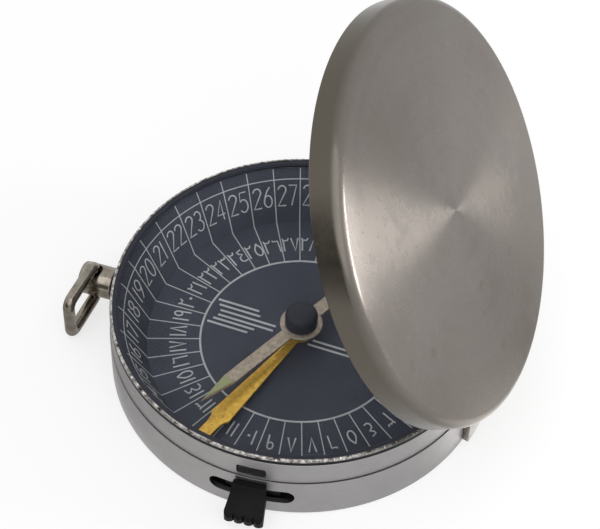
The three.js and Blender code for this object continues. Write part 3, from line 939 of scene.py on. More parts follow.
@dataclass(frozen=True)
class SpunMetal(Finish):
    """Metal brushed on a lathe, with rings that stretch its highlights.

    Its outside carries painted shade: it turns darker along the side wall, and darker low down on the
    top and the side.
    The inside and side bands are lengths along the turned section in millimetres, the low shade band's
    heights in metres.
    """

    rough: float = 0.34
    rough_spread: Pair = (-0.05, 0.08)
    mark_scale: float = 110.0
    shade_to: Colour = (0.2, 0.19, 0.18)
    rings: float = 14.0
    tone_band: Pair = (0.3, 0.7)
    tone_share: float = 0.2
    ring_band: Pair = (0.35, 0.75)
    ring_share: float = 0.3
    stretch: float = 0.8
    stretch_turn: float = 0.25
    relief: float = 0.0012
    patina: Colour = (0.15, 0.125, 0.1)
    patina_share: float = 0.3
    pit_scale: float = 260.0
    pit_share: float = 0.35
    scratch_scale: float = 70.0
    scratch_gain: float = 1.3
    scratch_share: float = 0.25
    inside: Pair = (28.4, 28.8)
    side: Pair = (31.6, 32.9)
    # Painted shade of the side wall; the pits take the same colour.
    side_tone: Colour = (0.112, 0.1, 0.082)
    # The next four set painted shade low down on the outside, on the top and on the side wall.
    tarnish: Colour = (0.1, 0.084, 0.066)
    tarnish_run: Pair = (0.013, 0.034)
    tarnish_share: float = 0.7
    side_tarnish: Colour = (0.04, 0.035, 0.03)

    def _coat(self, sheet: Sheet, skin: Node, effects: Effects) -> NodeSocket:
        """Brushes the metal and paints shade on its side wall and low down.

        Args:
            sheet: The material's sheet.
            skin: The shader.
            effects: The shared groups.

        Returns:
            The surface.
        """
        rings = sheet.group(effects.rings, Rings=self.rings)
        clean, marked = (self.rough + step for step in self.rough_spread)
        marks = sheet.group(effects.smudge, Scale=self.mark_scale, Clean=clean, Marked=marked)
        along = sheet.parts(sheet.turn_map())["Y"]
        outside = sheet.ramp(along, *self.inside, 0.0, 1.0)
        # Painted shade: the side wall turns to a darker colour.
        skirt_shade_mask = sheet.math("MULTIPLY", sheet.ramp(along, *self.side, 1.0, 0.0), outside)
        # Painted shade low down, by height in the object, on the top and on the side wall.
        height = sheet.parts(sheet.here())["Z"]
        low = sheet.ramp(height, *self.tarnish_run, self.tarnish_share, 0.0)
        low_shade_mask = sheet.math("MULTIPLY", low, outside)
        top = sheet.blend(low_shade_mask, self._worn(sheet, effects, rings, marks), self.tarnish)
        edge = sheet.blend(low_shade_mask, self.side_tone, self.side_tarnish)
        tangent = sheet.add("ShaderNodeTangent", direction_type="UV_MAP", uv_map=TURN_MAP)
        inputs = {
            "Metallic": 1.0,
            "Anisotropic": self.stretch,
            "Anisotropic Rotation": self.stretch_turn,
            "Tangent": tangent.outputs[0],
            "Base Color": sheet.blend(skirt_shade_mask, top, edge),
            "Roughness": marks["Roughness"],
            "Normal": self._bump(sheet, rings["Height"], self.relief),
        }
        sheet.feed(skin, inputs)
        return skin.outputs[0]

    def _worn(
        self, sheet: Sheet, effects: Effects, rings: NodeOutputs, marks: NodeOutputs
    ) -> NodeSocket:
        """Colours the metal by its rings, handling marks, pits and scratches.

        Args:
            sheet: The material's sheet.
            effects: The shared groups.
            rings: The turned rings.
            marks: The handling marks.

        Returns:
            The colour.
        """
        lines = sheet.group(effects.scratches, Scale=self.scratch_scale)
        dots = sheet.group(effects.grain, Speck_scale=self.pit_scale)
        tone = sheet.ramp(rings["Tone"], *self.tone_band, 0.0, self.tone_share)
        turned = sheet.blend(tone, self.colour, self.shade_to)
        ringed = sheet.ramp(rings["Height"], *self.ring_band, 0.0, self.ring_share)
        fine = sheet.blend(ringed, turned, self.shade_to)
        aged = sheet.blend(marks["Mask"], fine, self.patina, self.patina_share)
        pitted = sheet.blend(dots["Specks"], aged, self.side_tone, self.pit_share)
        bright = self._toned(self.scratch_gain)
        return sheet.blend(lines["Mask"], pitted, bright, self.scratch_share)


@dataclass(frozen=True)
class Painted(Finish):
    """Paint, plastic or worn metal with grain, specks and mottling.

    A finish given a side-shade colour turns to it along X, over a run in metres: painted shade on that
    side.
    """

    speck: Colour = (0.2, 0.2, 0.2)
    speck_share: float = 0.5
    rough: float = 0.5
    worn: float = 0.62
    grain: float = 3500.0
    relief: float = 0.004
    metallic: float = 0.0
    mottle: Colour | None = None
    mottle_scale: float = 260.0
    mottle_tone: float = 0.82
    gloss: float = 0.5
    speck_scale: float = 1100.0
    dulled: Colour | None = None
    dull_run: Pair = (0.012, 0.018)
    dull_share: float = 0.9

    def _coat(self, sheet: Sheet, skin: Node, effects: Effects) -> NodeSocket:
        """Mottles and specks the colour, and paints shade towards one side where a side-shade colour is
        given.

        Args:
            sheet: The material's sheet.
            skin: The shader.
            effects: The shared groups.

        Returns:
            The surface.
        """
        marks = sheet.group(effects.smudge, Scale=self.mottle_scale, Clean=self.rough, Marked=self.worn)
        dots = sheet.group(effects.grain, Scale=self.grain, Speck_scale=self.speck_scale)
        mottle = self.mottle or self._toned(self.mottle_tone)
        base = sheet.blend(marks["Mask"], self.colour, mottle)
        face = sheet.blend(dots["Specks"], base, self.speck, self.speck_share)
        # Painted shade: the colour darkens along X, towards one side.
        if self.dulled:
            across = sheet.parts(sheet.here())["X"]
            side_shade = sheet.ramp(across, *self.dull_run, 0.0, self.dull_share)
            face = sheet.blend(side_shade, face, self.dulled)
        inputs = {
            "Metallic": self.metallic,
            "Specular IOR Level": self.gloss,
            "Base Color": face,
            "Roughness": marks["Roughness"],
            "Normal": self._bump(sheet, dots["Height"], self.relief),
        }
        sheet.feed(skin, inputs)
        return skin.outputs[0]


@dataclass(frozen=True)
class ClearGlass(Finish):
    """Clear flat crystal that lets light through to the dial."""

    rough: float = 0.015
    mark_scale: float = 90.0
    ior: float = 1.08
    tint: Colour = (0.97, 0.98, 0.98)

    def _coat(self, sheet: Sheet, skin: Node, effects: Effects) -> NodeSocket:
        """Clears the shader, and lets shadow and diffuse rays pass.

        Args:
            sheet: The material's sheet.
            skin: The shader.
            effects: The shared groups.

        Returns:
            The surface.
        """
        marks = sheet.group(effects.smudge, Scale=self.mark_scale, Clean=0.0, Marked=self.rough)
        inputs = {
            "Metallic": 0.0,
            "Transmission Weight": 1.0,
            "IOR": self.ior,
            "Roughness": marks["Roughness"],
        }
        sheet.feed(skin, inputs)
        clear = sheet.add("ShaderNodeBsdfTransparent", {"Color": self.tint})
        ray = sheet.add("ShaderNodeLightPath").outputs
        passes = sheet.math("MAXIMUM", ray["Is Shadow Ray"], ray["Is Diffuse Ray"])
        mixed = {"Fac": passes, 1: skin.outputs[0], 2: clear.outputs[0]}
        return sheet.add("ShaderNodeMixShader", mixed).outputs[0]


class FinishBook:
    """Every finish of the compass, as materials by slot, with three that no slot names."""

    def __init__(self) -> None:
        """Builds the materials."""
        effects = Effects()
        made: dict[Slot, Finish] = {
            Slot.CASE: PlatedMetal(
                (0.325, 0.317, 0.321),
                clean=0.34,
                marked=0.44,
                scale=130.0,
                tarnish=(0.25, 0.24, 0.238),
            ),
            # Painted glints and shade: white specks and pale mottling on near-black metal stand in for
            # sparkle and the dark it mirrors; the right side turns to painted shade.
            Slot.RING: Painted(
                (0.02, 0.017, 0.014),
                speck=(1.0, 0.98, 0.96),
                speck_share=1.0,
                speck_scale=1500.0,
                rough=0.1,
                worn=0.2,
                grain=1500.0,
                relief=0.14,
                metallic=1.0,
                mottle=(0.7, 0.67, 0.64),
                mottle_scale=1500.0,
                dulled=(0.085, 0.08, 0.07),
            ),
            Slot.BLACK: Painted(
                (0.008, 0.008, 0.009),
                speck=(0.02, 0.02, 0.02),
                speck_share=0.4,
                rough=0.42,
                worn=0.58,
                grain=2600.0,
                relief=0.02,
                gloss=0.1,
            ),
            Slot.GLASS: ClearGlass((1.0, 1.0, 1.0)),
            Slot.DARK: Painted(
                (0.012, 0.012, 0.015),
                speck=(0.03, 0.03, 0.04),
                speck_share=0.4,
                rough=0.4,
                worn=0.55,
                grain=3000.0,
                relief=0.01,
                gloss=0.15,
            ),
            Slot.DIAL: Painted(
                (0.075, 0.083, 0.111),
                speck=(0.11, 0.12, 0.132),
                speck_share=0.3,
                rough=0.5,
                worn=0.6,
                grain=5200.0,
                relief=0.0015,
                gloss=0.18,
            ),
            Slot.BRASS: Painted(
                (0.92, 0.6, 0.105),
                speck=(0.16, 0.075, 0.015),
                speck_share=0.9,
                speck_scale=2000.0,
                rough=0.34,
                worn=0.5,
                grain=2600.0,
                relief=0.012,
                metallic=0.5,
                mottle=(0.66, 0.36, 0.05),
                mottle_scale=1500.0,
            ),
            Slot.STEEL: PlatedMetal((0.5, 0.5, 0.5), clean=0.25, marked=0.4, scale=400.0),
            Slot.NICKEL: Painted(
                (0.46, 0.385, 0.3),
                speck=(0.14, 0.12, 0.1),
                speck_share=0.75,
                speck_scale=2400.0,
                rough=0.4,
                worn=0.55,
                grain=3200.0,
                relief=0.012,
                metallic=0.6,
                mottle=(0.27, 0.235, 0.2),
                mottle_scale=1900.0,
            ),
            Slot.LUME: Painted(
                (0.42, 0.445, 0.225),
                speck=(0.24, 0.26, 0.14),
                rough=0.6,
                worn=0.75,
                grain=2400.0,
                relief=0.02,
            ),
            Slot.JEWEL: Painted(
                (0.3, 0.02, 0.05),
                speck=(0.5, 0.1, 0.12),
                speck_share=0.2,
                rough=0.08,
                worn=0.14,
                grain=1500.0,
                relief=0.001,
            ),
            Slot.HINGE: PlatedMetal(
                (0.2, 0.188, 0.168),
                clean=0.24,
                marked=0.38,
                scale=260.0,
                tarnish=(0.1, 0.088, 0.072),
                tarnish_share=0.6,
            ),
            Slot.LID: SpunMetal(
                (0.196, 0.178, 0.163),
                rough=0.26,
                shade_to=(0.134, 0.12, 0.108),
                stretch=0.85,
            ),
            Slot.BAIL: PlatedMetal(
                (0.32, 0.29, 0.25),
                clean=0.1,
                marked=0.22,
                scale=700.0,
                tarnish=(0.12, 0.1, 0.075),
                tarnish_share=0.8,
            ),
        }
        self.by_slot = {slot: finish.material(slot.value, effects) for slot, finish in made.items()}
        self.cap = Painted(
            (0.034, 0.038, 0.052),
            speck=(0.05, 0.055, 0.07),
            speck_share=0.3,
            rough=0.4,
            worn=0.5,
            grain=4200.0,
            gloss=0.2,
        ).material("cap_slate", effects)
        # Near-black steel as painted shade, for the band under the rolled rim and the slider seen in the
        # slot.
        self.blackened = PlatedMetal(
            (0.02, 0.02, 0.022),
            clean=0.35,
            marked=0.5,
            scale=400.0,
            tarnish=(0.012, 0.012, 0.012),
        ).material("painted_shade_steel", effects)
        self.ink = Painted(
            (0.66, 0.68, 0.7),
            speck=(0.4, 0.42, 0.45),
            speck_share=0.4,
            rough=0.55,
            worn=0.7,
            grain=5000.0,
            relief=0.002,
        ).material("dial_ink", effects)

    def of(self, slot: Slot) -> Material:
        """Gives a slot's material."""
        return self.by_slot[slot]


# Assembly


class Bench:
    """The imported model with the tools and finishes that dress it."""

    def __init__(self, frame: dict) -> None:
        """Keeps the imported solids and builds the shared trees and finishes.

        Args:
            frame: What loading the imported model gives.
        """
        self.nodes: dict[str, Object] = frame["nodes"]
        self.finishes = FinishBook()
        self.run = RunAlongPath()
        self.repeat = RepeatRound()

    def fit(
        self,
        piece: Object,
        body: Body,
        slot: Slot | None,
        *stands_for: str,
        finish: Material | None = None,
    ) -> None:
        """Gives a piece its finish and sets it on its body.

        Args:
            piece: The piece.
            body: The body it moves with.
            slot: Its material slot, or None for print.
            stands_for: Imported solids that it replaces.
            finish: A material other than the slot's.
        """
        piece.data.materials.clear()
        piece.data.materials.append(finish or self.finishes.of(slot))
        for face in piece.data.polygons:
            face.material_index = 0
        if stands_for:
            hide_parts(*stands_for)
        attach(piece, body.value)
        LOG.info("%s: %d faces, on %s", piece.name, len(piece.data.polygons), body.value)

    def refine(
        self, node: str, body: Body, slot: Slot, edge: float, name: str = "", angle: float = SOFT_ABOVE
    ) -> None:
        """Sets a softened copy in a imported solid's place.

        Args:
            node: The solid's name.
            body: The body it moves with.
            slot: Its material slot.
            edge: Width of the softened edges in millimetres.
            name: The copy's name, if it isn't the solid's with an ending.
            angle: Edges sharper than this many degrees are softened.
        """
        self.fit(refined(name or f"{node}_fine", self.nodes[node], edge, angle), body, slot, node)

    def dress(self, node: str, slot: Slot, finish: Material | None = None) -> None:
        """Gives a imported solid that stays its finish.

        Args:
            node: The solid's name.
            slot: Its material slot.
            finish: A material other than the slot's.
        """
        solid = self.nodes[node]
        if not solid.material_slots:
            solid.data.materials.append(None)
        for place in solid.material_slots:
            place.material = finish or self.finishes.of(slot)
        LOG.info("%s: kept as packed", node)


@dataclass
class CaseShell:
    """The pressed case, the bezel above it and the plug in its window."""

    bench: Bench
    radius: float = CASE_RADIUS
    bore: float = 24.45
    floor: float = 0.8
    band: float = 6.75
    rim: float = RIM_LEVEL
    bezel_radius: float = 25.0
    bezel_bore: float = 24.3
    bezel_gap: float = 0.05
    spigot: Pair = (23.7, 24.4)
    spigot_foot: float = 6.3
    groove: float = 0.3
    seam: float = 0.08
    seam_edge: float = 0.02
    edge: float = 0.4
    base_loop: float = 4.0
    case_loop: float = 3.0
    bezel_loop: float = 9.0
    lever_azimuth: float = 177.0
    slot_size: Pair = (11.1, 2.5)
    slot_level: float = 3.55
    slot_depth: float = 3.0
    window: Pair = (3.8, 1.65)
    window_foot: float = 7.25
    window_corner: float = 0.35
    plug_edge: float = 0.12
    rim_edge: float = 0.22
    rim_recess: float = 24.86
    wall_top: float = SHOULDER_LEVEL
    lower_edge: float = 0.05
    post_azimuth: float = 270.0
    post_hole: float = 1.25
    post_level: float = POST_LEVEL

    def build(self) -> None:
        """Makes the case, the bezel and the plug."""
        self._case()
        self._bezel()
        self.bench.refine("window_plug", Body.CASE, Slot.DARK, self.plug_edge)

    def _case(self) -> None:
        """Turns the cup and cuts the lever's slot and the post's hole."""
        e, chamfer = self.edge, self.seam_edge
        seam_foot = self.band - self.seam
        cup = lathe(
            "case_cup",
            [
                (0, 0),
                (self.radius - self.base_loop, 0),
                *arc(self.radius - e, e, e, e, -90, 0, 8),
                (self.radius, self.case_loop),
                (self.radius, seam_foot),
                (self.radius - chamfer, seam_foot + chamfer),
                (self.radius - self.groove, seam_foot + chamfer),
                (self.radius - self.groove, self.band),
                (self.bore, self.band),
                (self.bore, self.floor),
                (0, self.floor),
            ],
        )
        length, height = self.slot_size
        half, end = (length - height) / 2, height / 2
        stadium = [
            *arc(half, self.slot_level, end, end, -90, 90, 16),
            *arc(-half, self.slot_level, end, end, 90, 270, 16),
        ]
        slot = prism(
            "slot_tool",
            stadium,
            self.bore - self.slot_depth,
            self.radius + CUT_MARGIN,
            facing(self.lever_azimuth),
        )
        hole = prism(
            "hole_tool",
            round_hole(0, self.post_level, self.post_hole),
            self.bore - CUT_MARGIN,
            self.radius + CUT_MARGIN,
            facing(self.post_azimuth),
        )
        self.bench.fit(cut(cup, slot, hole), Body.CASE, Slot.CASE, "case_shell")

    def _bezel(self) -> None:
        """Turns the upper band and cuts its window."""
        e, g = self.rim_edge, self.lower_edge
        foot = self.band + self.bezel_gap
        band = lathe(
            "bezel_band",
            [
                (self.spigot[0], self.spigot_foot),
                (self.spigot[1], self.spigot_foot),
                (self.spigot[1], foot),
                (self.bezel_radius - g, foot),
                *arc(self.bezel_radius - g, foot + g, g, g, -90, 0, 4)[1:],
                (self.bezel_radius, self.bezel_loop),
                (self.bezel_radius, self.wall_top - g),
                (self.bezel_radius - g, self.wall_top),
                (self.rim_recess, self.wall_top),
                *arc(self.rim_recess - e, self.rim - e, e, e, 0, 90, 8),
                (self.bezel_bore, self.rim),
                (self.bezel_bore, foot + g),
                (self.spigot[0], foot),
            ],
        )
        corner = self.window_corner
        side = self.window[0] / 2 - corner
        low, high = self.window_foot + corner, self.window_foot + self.window[1] - corner
        hole = [
            *arc(side, high, corner, corner, 0, 90, 5),
            *arc(-side, high, corner, corner, 90, 180, 5),
            *arc(-side, low, corner, corner, 180, 270, 5),
            *arc(side, low, corner, corner, 270, 360, 5),
        ]
        tool = prism(
            "window_tool",
            hole,
            self.bezel_bore - CUT_MARGIN,
            self.bezel_radius + CUT_MARGIN,
            facing(self.lever_azimuth),
        )
        self.bench.fit(cut(band, tool), Body.CASE, Slot.CASE, "bezel_ring")


@dataclass
class Crystal:
    """The flat crystal, its ring, the crimped roll, and a dark band of painted shade on the bezel's
    shoulder.
    """

    bench: Bench
    radius: float = 24.2
    foot: float = 10.57
    top: float = 11.12
    edge: float = 0.12
    pane_loop: float = 12.0
    pane_crisp_above: float = 20.0
    rim: float = RIM_LEVEL
    ring: Pair = (23.85, 24.25)
    ring_seat: float = 0.01
    ring_slope: Pair = (0.02, 0.09)
    ring_shoulder: Pair = (0.16, 0.16)
    ring_crest: float = 0.08
    ring_step: float = 0.14
    lip_reach: float = 24.66
    lip_faces: Pair = (0.005, 0.03)
    roll: Pair = (24.68, 24.98)
    roll_foot: float = 11.2
    roll_rise: float = 0.32
    roll_tuck: Pair = (0.06, 0.07)
    roll_under: Pair = (0.1, 0.02)
    roll_back: float = 0.02
    packing: Pair = (24.8, 24.9)
    packing_foot: float = SHOULDER_LEVEL
    packing_gaps: Pair = (0.005, 0.02)
    packing_toe: float = 0.06
    packing_heel: Pair = (0.02, 0.05)
    crimps: int = 190
    crimp_half: float = 0.16
    crimp_insets: Pair = (0.06, 0.02)
    crimp_lift: float = 0.3
    crimp_fall: float = 0.9
    crimp_crest: tuple[Pair, Pair] = ((0.45, 0.09), (-0.3, 0.11))

    def build(self) -> None:
        """Makes the crystal, its ring, the roll, the dark band of painted shade and the crimps."""
        self._pane()
        self._ring()
        self._roll()
        self._packing()
        self._crimps()

    def _pane(self) -> None:
        """Turns the crystal."""
        e = self.edge
        pane = lathe(
            "crystal_pane",
            [
                (0, self.foot),
                (self.pane_loop, self.foot),
                (self.radius - e, self.foot),
                (self.radius, self.foot + e),
                (self.radius, self.top - e),
                (self.radius - e, self.top),
                (self.pane_loop, self.top),
                (0, self.top),
            ],
            angle=self.pane_crisp_above,
        )
        self.bench.fit(pane, Body.CASE, Slot.GLASS, "crystal")

    def _ring(self) -> None:
        """Turns the ring that holds the crystal, with its lip on the rim."""
        inner, outer = self.ring
        seat = self.top + self.ring_seat
        lip_foot, lip_top = (self.rim + step for step in self.lip_faces)
        back, drop = self.ring_shoulder
        ring = lathe(
            "retaining_ring",
            [
                (inner, seat),
                (outer, seat),
                (outer, lip_foot),
                (self.lip_reach, lip_foot),
                (self.lip_reach, lip_top),
                (outer - self.ring_step, lip_top),
                *arc(outer - back, self.rim - drop, self.ring_crest, drop, 90, 170, 4),
                (inner + self.ring_slope[0], self.top + self.ring_slope[1]),
            ],
        )
        # The ring takes the dark slate finish as painted shade in the gap between the dial and the roll.
        finish = self.bench.finishes.cap
        self.bench.fit(ring, Body.CASE, Slot.RING, "crystal_retainer", finish=finish)

    def _roll(self) -> None:
        """Turns the rolled edge over the bezel's shoulder."""
        inner, outer = self.roll
        tucked = inner - self.roll_tuck[0]
        roll = lathe(
            "rolled_rim",
            [
                (tucked, self.rim - self.roll_tuck[1]),
                (outer - self.roll_under[0], self.roll_foot - self.roll_under[1]),
                *arc(inner, self.roll_foot, outer - inner, self.roll_rise, 0, 90, 12),
                (tucked, self.roll_foot + self.roll_rise - self.roll_back),
            ],
        )
        self.bench.fit(roll, Body.CASE, Slot.RING)

    def _packing(self) -> None:
        """Turns a dark band of painted shade between the bezel's wall and the roll, where the gap lies
        in shade.
        """
        inner, outer = self.packing
        heel_out, heel_up = self.packing_heel
        foot = self.packing_foot + self.packing_gaps[0]
        top = self.roll_foot - self.packing_gaps[1]
        packing = lathe(
            "rim_shadow_band",
            [
                (inner, foot),
                (outer + self.packing_toe, foot),
                (outer + heel_out, self.packing_foot + heel_up),
                (outer, top),
                (inner, top),
            ],
        )
        self.bench.fit(packing, Body.CASE, Slot.STEEL, finish=self.bench.finishes.blackened)

    def _crimps(self) -> None:
        """Repeats a small dent ridge round the rolled rim."""
        half = self.crimp_half
        inner, outer = self.roll[0] + self.crimp_insets[0], self.roll[1] - self.crimp_insets[1]
        level = self.roll_foot + self.crimp_lift
        crest = [(half * side, up) for side, up in self.crimp_crest]
        ridge = prism(
            "ring_crimps",
            [(-half, 0.0), (half, 0.0), *crest],
            inner,
            outer,
            lambda side, up, out: Vector((side, out, level + up - (out - inner) * self.crimp_fall)) * MM,
        )
        self.bench.repeat.set_on(ridge, self.crimps, self.bench.finishes.of(Slot.RING))
        self.bench.fit(bake(ridge), Body.CASE, Slot.RING)


@dataclass
class NumeralStrokes:
    """Single-stroke numerals, drawn on a unit height."""

    kind: Numerals

    def glyph(self, digit: int) -> Glyph:
        """Gives a numeral's strokes.

        Args:
            digit: From 0 to 9.

        Returns:
            Its width and its strokes.
        """
        shapes = self._outer() if self.kind is Numerals.OUTER else self._inner()
        return shapes[digit]

    @staticmethod
    def _outer() -> dict[int, Glyph]:
        """Draws the narrow upright numerals of the wall.

        Returns:
            The numerals from 0 to 9.
        """
        ring = arc(0.18, 0.5, 0.18, 0.5, 90, -270, 20)
        two = [*arc(0.18, 0.79, 0.18, 0.21, 170, -30, 10), (0.0, 0.0), (0.36, 0.0)]
        three = [*arc(0.17, 0.76, 0.16, 0.24, 150, -80, 9), *arc(0.17, 0.27, 0.19, 0.27, 85, -150, 10)]
        five = [(0.34, 1.0), (0.05, 1.0), (0.02, 0.56), *arc(0.165, 0.32, 0.195, 0.32, 125, -145, 11)]
        six = [(0.3, 1.0), (0.17, 0.82), (0.06, 0.56), *arc(0.18, 0.29, 0.18, 0.29, 180, 540, 18)]
        eight = [arc(0.18, 0.77, 0.155, 0.23, -90, 270, 16), arc(0.18, 0.27, 0.18, 0.27, 90, 450, 18)]
        return {
            0: (0.36, [ring]),
            1: (0.12, [[(0.06, 0.0), (0.06, 1.0)]]),
            2: (0.36, [two]),
            3: (0.36, [three]),
            4: (0.38, [[(0.28, 0.0), (0.28, 1.0), (0.0, 0.28), (0.38, 0.28)]]),
            5: (0.36, [five]),
            6: (0.36, [six]),
            7: (0.36, [[(0.0, 1.0), (0.36, 1.0), (0.12, 0.0)]]),
            8: (0.36, eight),
            9: (0.36, [[(0.36 - x, 1.0 - y) for x, y in six]]),
        }

    @staticmethod
    def _inner() -> dict[int, Glyph]:
        """Draws the Arabic-Indic numerals of the flat.

        Returns:
            The numerals from 0 to 9.
        """
        two = [[(0.0, 1.0), (0.05, 0.85), (0.1, 0.0)], [(0.05, 0.85), (0.3, 0.84), (0.38, 1.0)]]
        three = [
            [(0.0, 1.0), (0.05, 0.84), (0.1, 0.0)],
            [(0.05, 0.87), (0.2, 0.86), (0.24, 0.95), (0.28, 0.86), (0.42, 0.86), (0.48, 0.98)],
        ]
        four_top = [(0.36, 0.98), (0.06, 0.86), (0.1, 0.68), (0.3, 0.56)]
        four_foot = [(0.05, 0.4), (0.03, 0.14), (0.18, 0.0), (0.4, 0.06)]
        return {
            0: (0.2, [arc(0.1, 0.45, 0.045, 0.045, 0, 360, 8)]),
            1: (0.14, [[(0.04, 1.0), (0.1, 0.0)]]),
            2: (0.38, two),
            3: (0.48, three),
            4: (0.4, [four_top + four_foot]),
            5: (0.44, [[(0.22, 1.0), *arc(0.22, 0.42, 0.22, 0.4, 55, -235, 16), (0.22, 1.0)]]),
            6: (0.38, [[(0.0, 0.96), (0.06, 0.86), (0.34, 0.88), (0.38, 0.0)]]),
            7: (0.44, [[(0.0, 1.0), (0.22, 0.0), (0.44, 1.0)]]),
            8: (0.44, [[(0.0, 0.0), (0.22, 1.0), (0.44, 0.0)]]),
            9: (0.36, [arc(0.17, 0.74, 0.17, 0.24, 0, 360, 14), [(0.34, 0.74), (0.36, 0.0)]]),
        }


@dataclass
class Dial:
    """The slate dial, the sloping ring round it and their printed lines and numbers."""

    bench: Bench
    edge: float = 20.42
    level: float = 3.28
    thickness: float = 0.6
    overlap: float = 0.78
    bush: float = 0.55
    break_radius: float = 23.28
    break_level: float = 9.21
    top_radius: float = 24.2
    top_level: float = 10.52
    wall: float = 0.45
    divisions: int = 40
    circle: float = 13.36
    line: float = 0.095
    circle_line: float = 0.1615
    circle_steps: int = 180
    upper_circle: float = 0.985
    flat_stop: float = 17.0
    flat_gap: float = 0.03
    slope_stops: tuple[float, ...] = (0.02, 0.3, 0.6, 0.97)
    lip_stops: tuple[float, ...] = (0.05, 0.5, 0.92)
    lip_sink: float = 0.021
    outer_stroke: float = 0.115
    outer_height: float = 3.0
    outer_gap: float = 0.14
    outer_middle: float = 0.615
    inner_stroke: float = 0.13225
    inner_height: float = 2.2
    inner_gap: float = 0.17
    inner_middle: float = 16.35
    wide_middle: float = 17.0
    last_wide: int = 11
    number_at_hinge: float = 39.5
    ink_sides: int = 6
    sink: float = 0.035
    plate_loop: float = 10.0
    seat: float = 0.002
    crisp_above: float = 12.0
    notch_azimuth: float = 200.0
    notch_width: float = 2.3
    notch_top: float = 4.9
    arrow_line: float = 0.17
    arrow_sides: int = 8
    shaft: list[tuple[Pair, Pair]] = field(
        default_factory=lambda: [
            ((-12.5, 2.95), (-6.7, 2.7)),
            ((-12.1, 2.15), (-6.3, 1.9)),
            ((-11.7, 1.3), (-3.8, 0.95)),
            ((-11.75, 0.5), (-3.95, 0.15)),
            ((-12.2, -0.2), (-6.4, -0.45)),
            ((-12.8, -0.95), (-7.1, -1.2)),
            ((1.6, 0.3), (7.15, 0.05)),
            ((1.1, -0.5), (7.15, -0.75)),
        ]
    )

    def build(self) -> None:
        """Makes the dial, its ring and the print."""
        self._plate()
        self._ring()
        self._lines()
        self._circles()
        self._numerals()
        self._arrow()
        self.bench.dress("dial_support", Slot.DARK)
        self.bench.dress("pivot_bush", Slot.BRASS)
        self.bench.dress("pivot_pin", Slot.STEEL)

    def _plate(self) -> None:
        """Turns the flat dial."""
        foot = self.level - self.thickness
        plate = lathe(
            "dial_flat",
            [
                (self.bush, foot),
                (self.edge + self.overlap, foot),
                (self.edge + self.overlap, self.level),
                (self.plate_loop, self.level),
                (self.bush, self.level),
            ],
        )
        self.bench.fit(plate, Body.CASE, Slot.DIAL, "dial_plate")

    def _ring(self) -> None:
        """Turns the sloping ring and cuts the lifter's notch."""
        foot = self.level + self.seat
        ring = lathe(
            "dial_slope",
            [
                (self.edge, foot),
                (self.edge + self.wall, foot),
                (self.break_radius + self.wall, self.break_level),
                (self.top_radius, self.top_level - self.wall),
                (self.top_radius, self.top_level),
                (self.break_radius, self.break_level),
            ],
            angle=self.crisp_above,
        )
        notched = cut(ring, self._notch_tool(), angle=self.crisp_above)
        self.bench.fit(notched, Body.CASE, Slot.DIAL, "chapter_ring")

    def _notch_tool(self) -> Object:
        """Makes the block that clears the lifter's neck.

        Returns:
            The block, to be cut away.
        """
        half = self.notch_width / 2
        low, high = self.level - CUT_MARGIN, self.notch_top
        corners = [(-half, low), (half, low), (half, high), (-half, high)]
        place = facing(self.notch_azimuth)
        return prism("notch_tool", corners, self.edge - CUT_MARGIN, self.break_radius, place)

    def _on_slope(self, share: float, azimuth: float, sink: float) -> Vector:
        """Finds a point on the slope.

        Args:
            share: From 0 at the flat to 1 at the break.
            azimuth: Degrees clockwise from +Y.
            sink: How far the point lies under the surface, in millimetres.

        Returns:
            The point in metres.
        """
        run, rise = self.break_radius - self.edge, self.break_level - self.level
        length = math.hypot(run, rise)
        radius = self.edge + share * run + sink * rise / length
        return polar(radius, azimuth, self.level + share * rise - sink * run / length)

    def _lines(self) -> None:
        """Repeats one division line round the dial, up the slope and onto the lip."""
        stops = (self.circle, self.flat_stop, self.edge - self.flat_gap)
        flat = [polar(stop, 0, self.level - self.sink) for stop in stops]
        slope = [self._on_slope(share, 0, self.sink) for share in self.slope_stops]
        lip_run = self.top_radius - self.break_radius
        lip_rise = self.top_level - self.break_level
        lip = [
            polar(
                self.break_radius + share * lip_run + self.sink,
                0,
                self.break_level + share * lip_rise - self.lip_sink,
            )
            for share in self.lip_stops
        ]
        ink = self.bench.finishes.ink
        lines = wire_frame("division_lines", [[*flat, *slope, *lip]])
        self.bench.repeat.set_on(lines, self.divisions, ink)
        self.bench.run.set_on(lines, self.line, self.ink_sides, ink)
        self.bench.fit(cut(bake(lines), self._notch_tool()), Body.CASE, None, finish=ink)

    def _circles(self) -> None:
        """Draws the circle on the flat and the one at the top of the slope."""
        turns = [360 * i / self.circle_steps for i in range(self.circle_steps)]
        inner = [polar(self.circle, turn, self.level - self.sink) for turn in turns]
        upper = [self._on_slope(self.upper_circle, turn, self.sink) for turn in turns]
        self._ink("inner_circle", [inner], self.circle_line, closed=True)
        self._ink("upper_circle", [upper], self.line, closed=True)

    def _ink(
        self,
        name: str,
        runs: list[list[Vector]],
        radius: float,
        closed: bool = False,
        sides: int | None = None,
    ) -> None:
        """Draws strokes of ink as thin round lines.

        Args:
            name: The piece's name.
            runs: The strokes' points in metres.
            radius: Half the width of a stroke, in millimetres.
            closed: Joins each stroke's end to its start.
            sides: Sides of a stroke, if other than usual.
        """
        ink = self.bench.finishes.ink
        strokes = wire_frame(name, runs, closed)
        self.bench.run.set_on(strokes, radius, sides or self.ink_sides, ink)
        self.bench.fit(bake(strokes), Body.CASE, None, finish=ink)

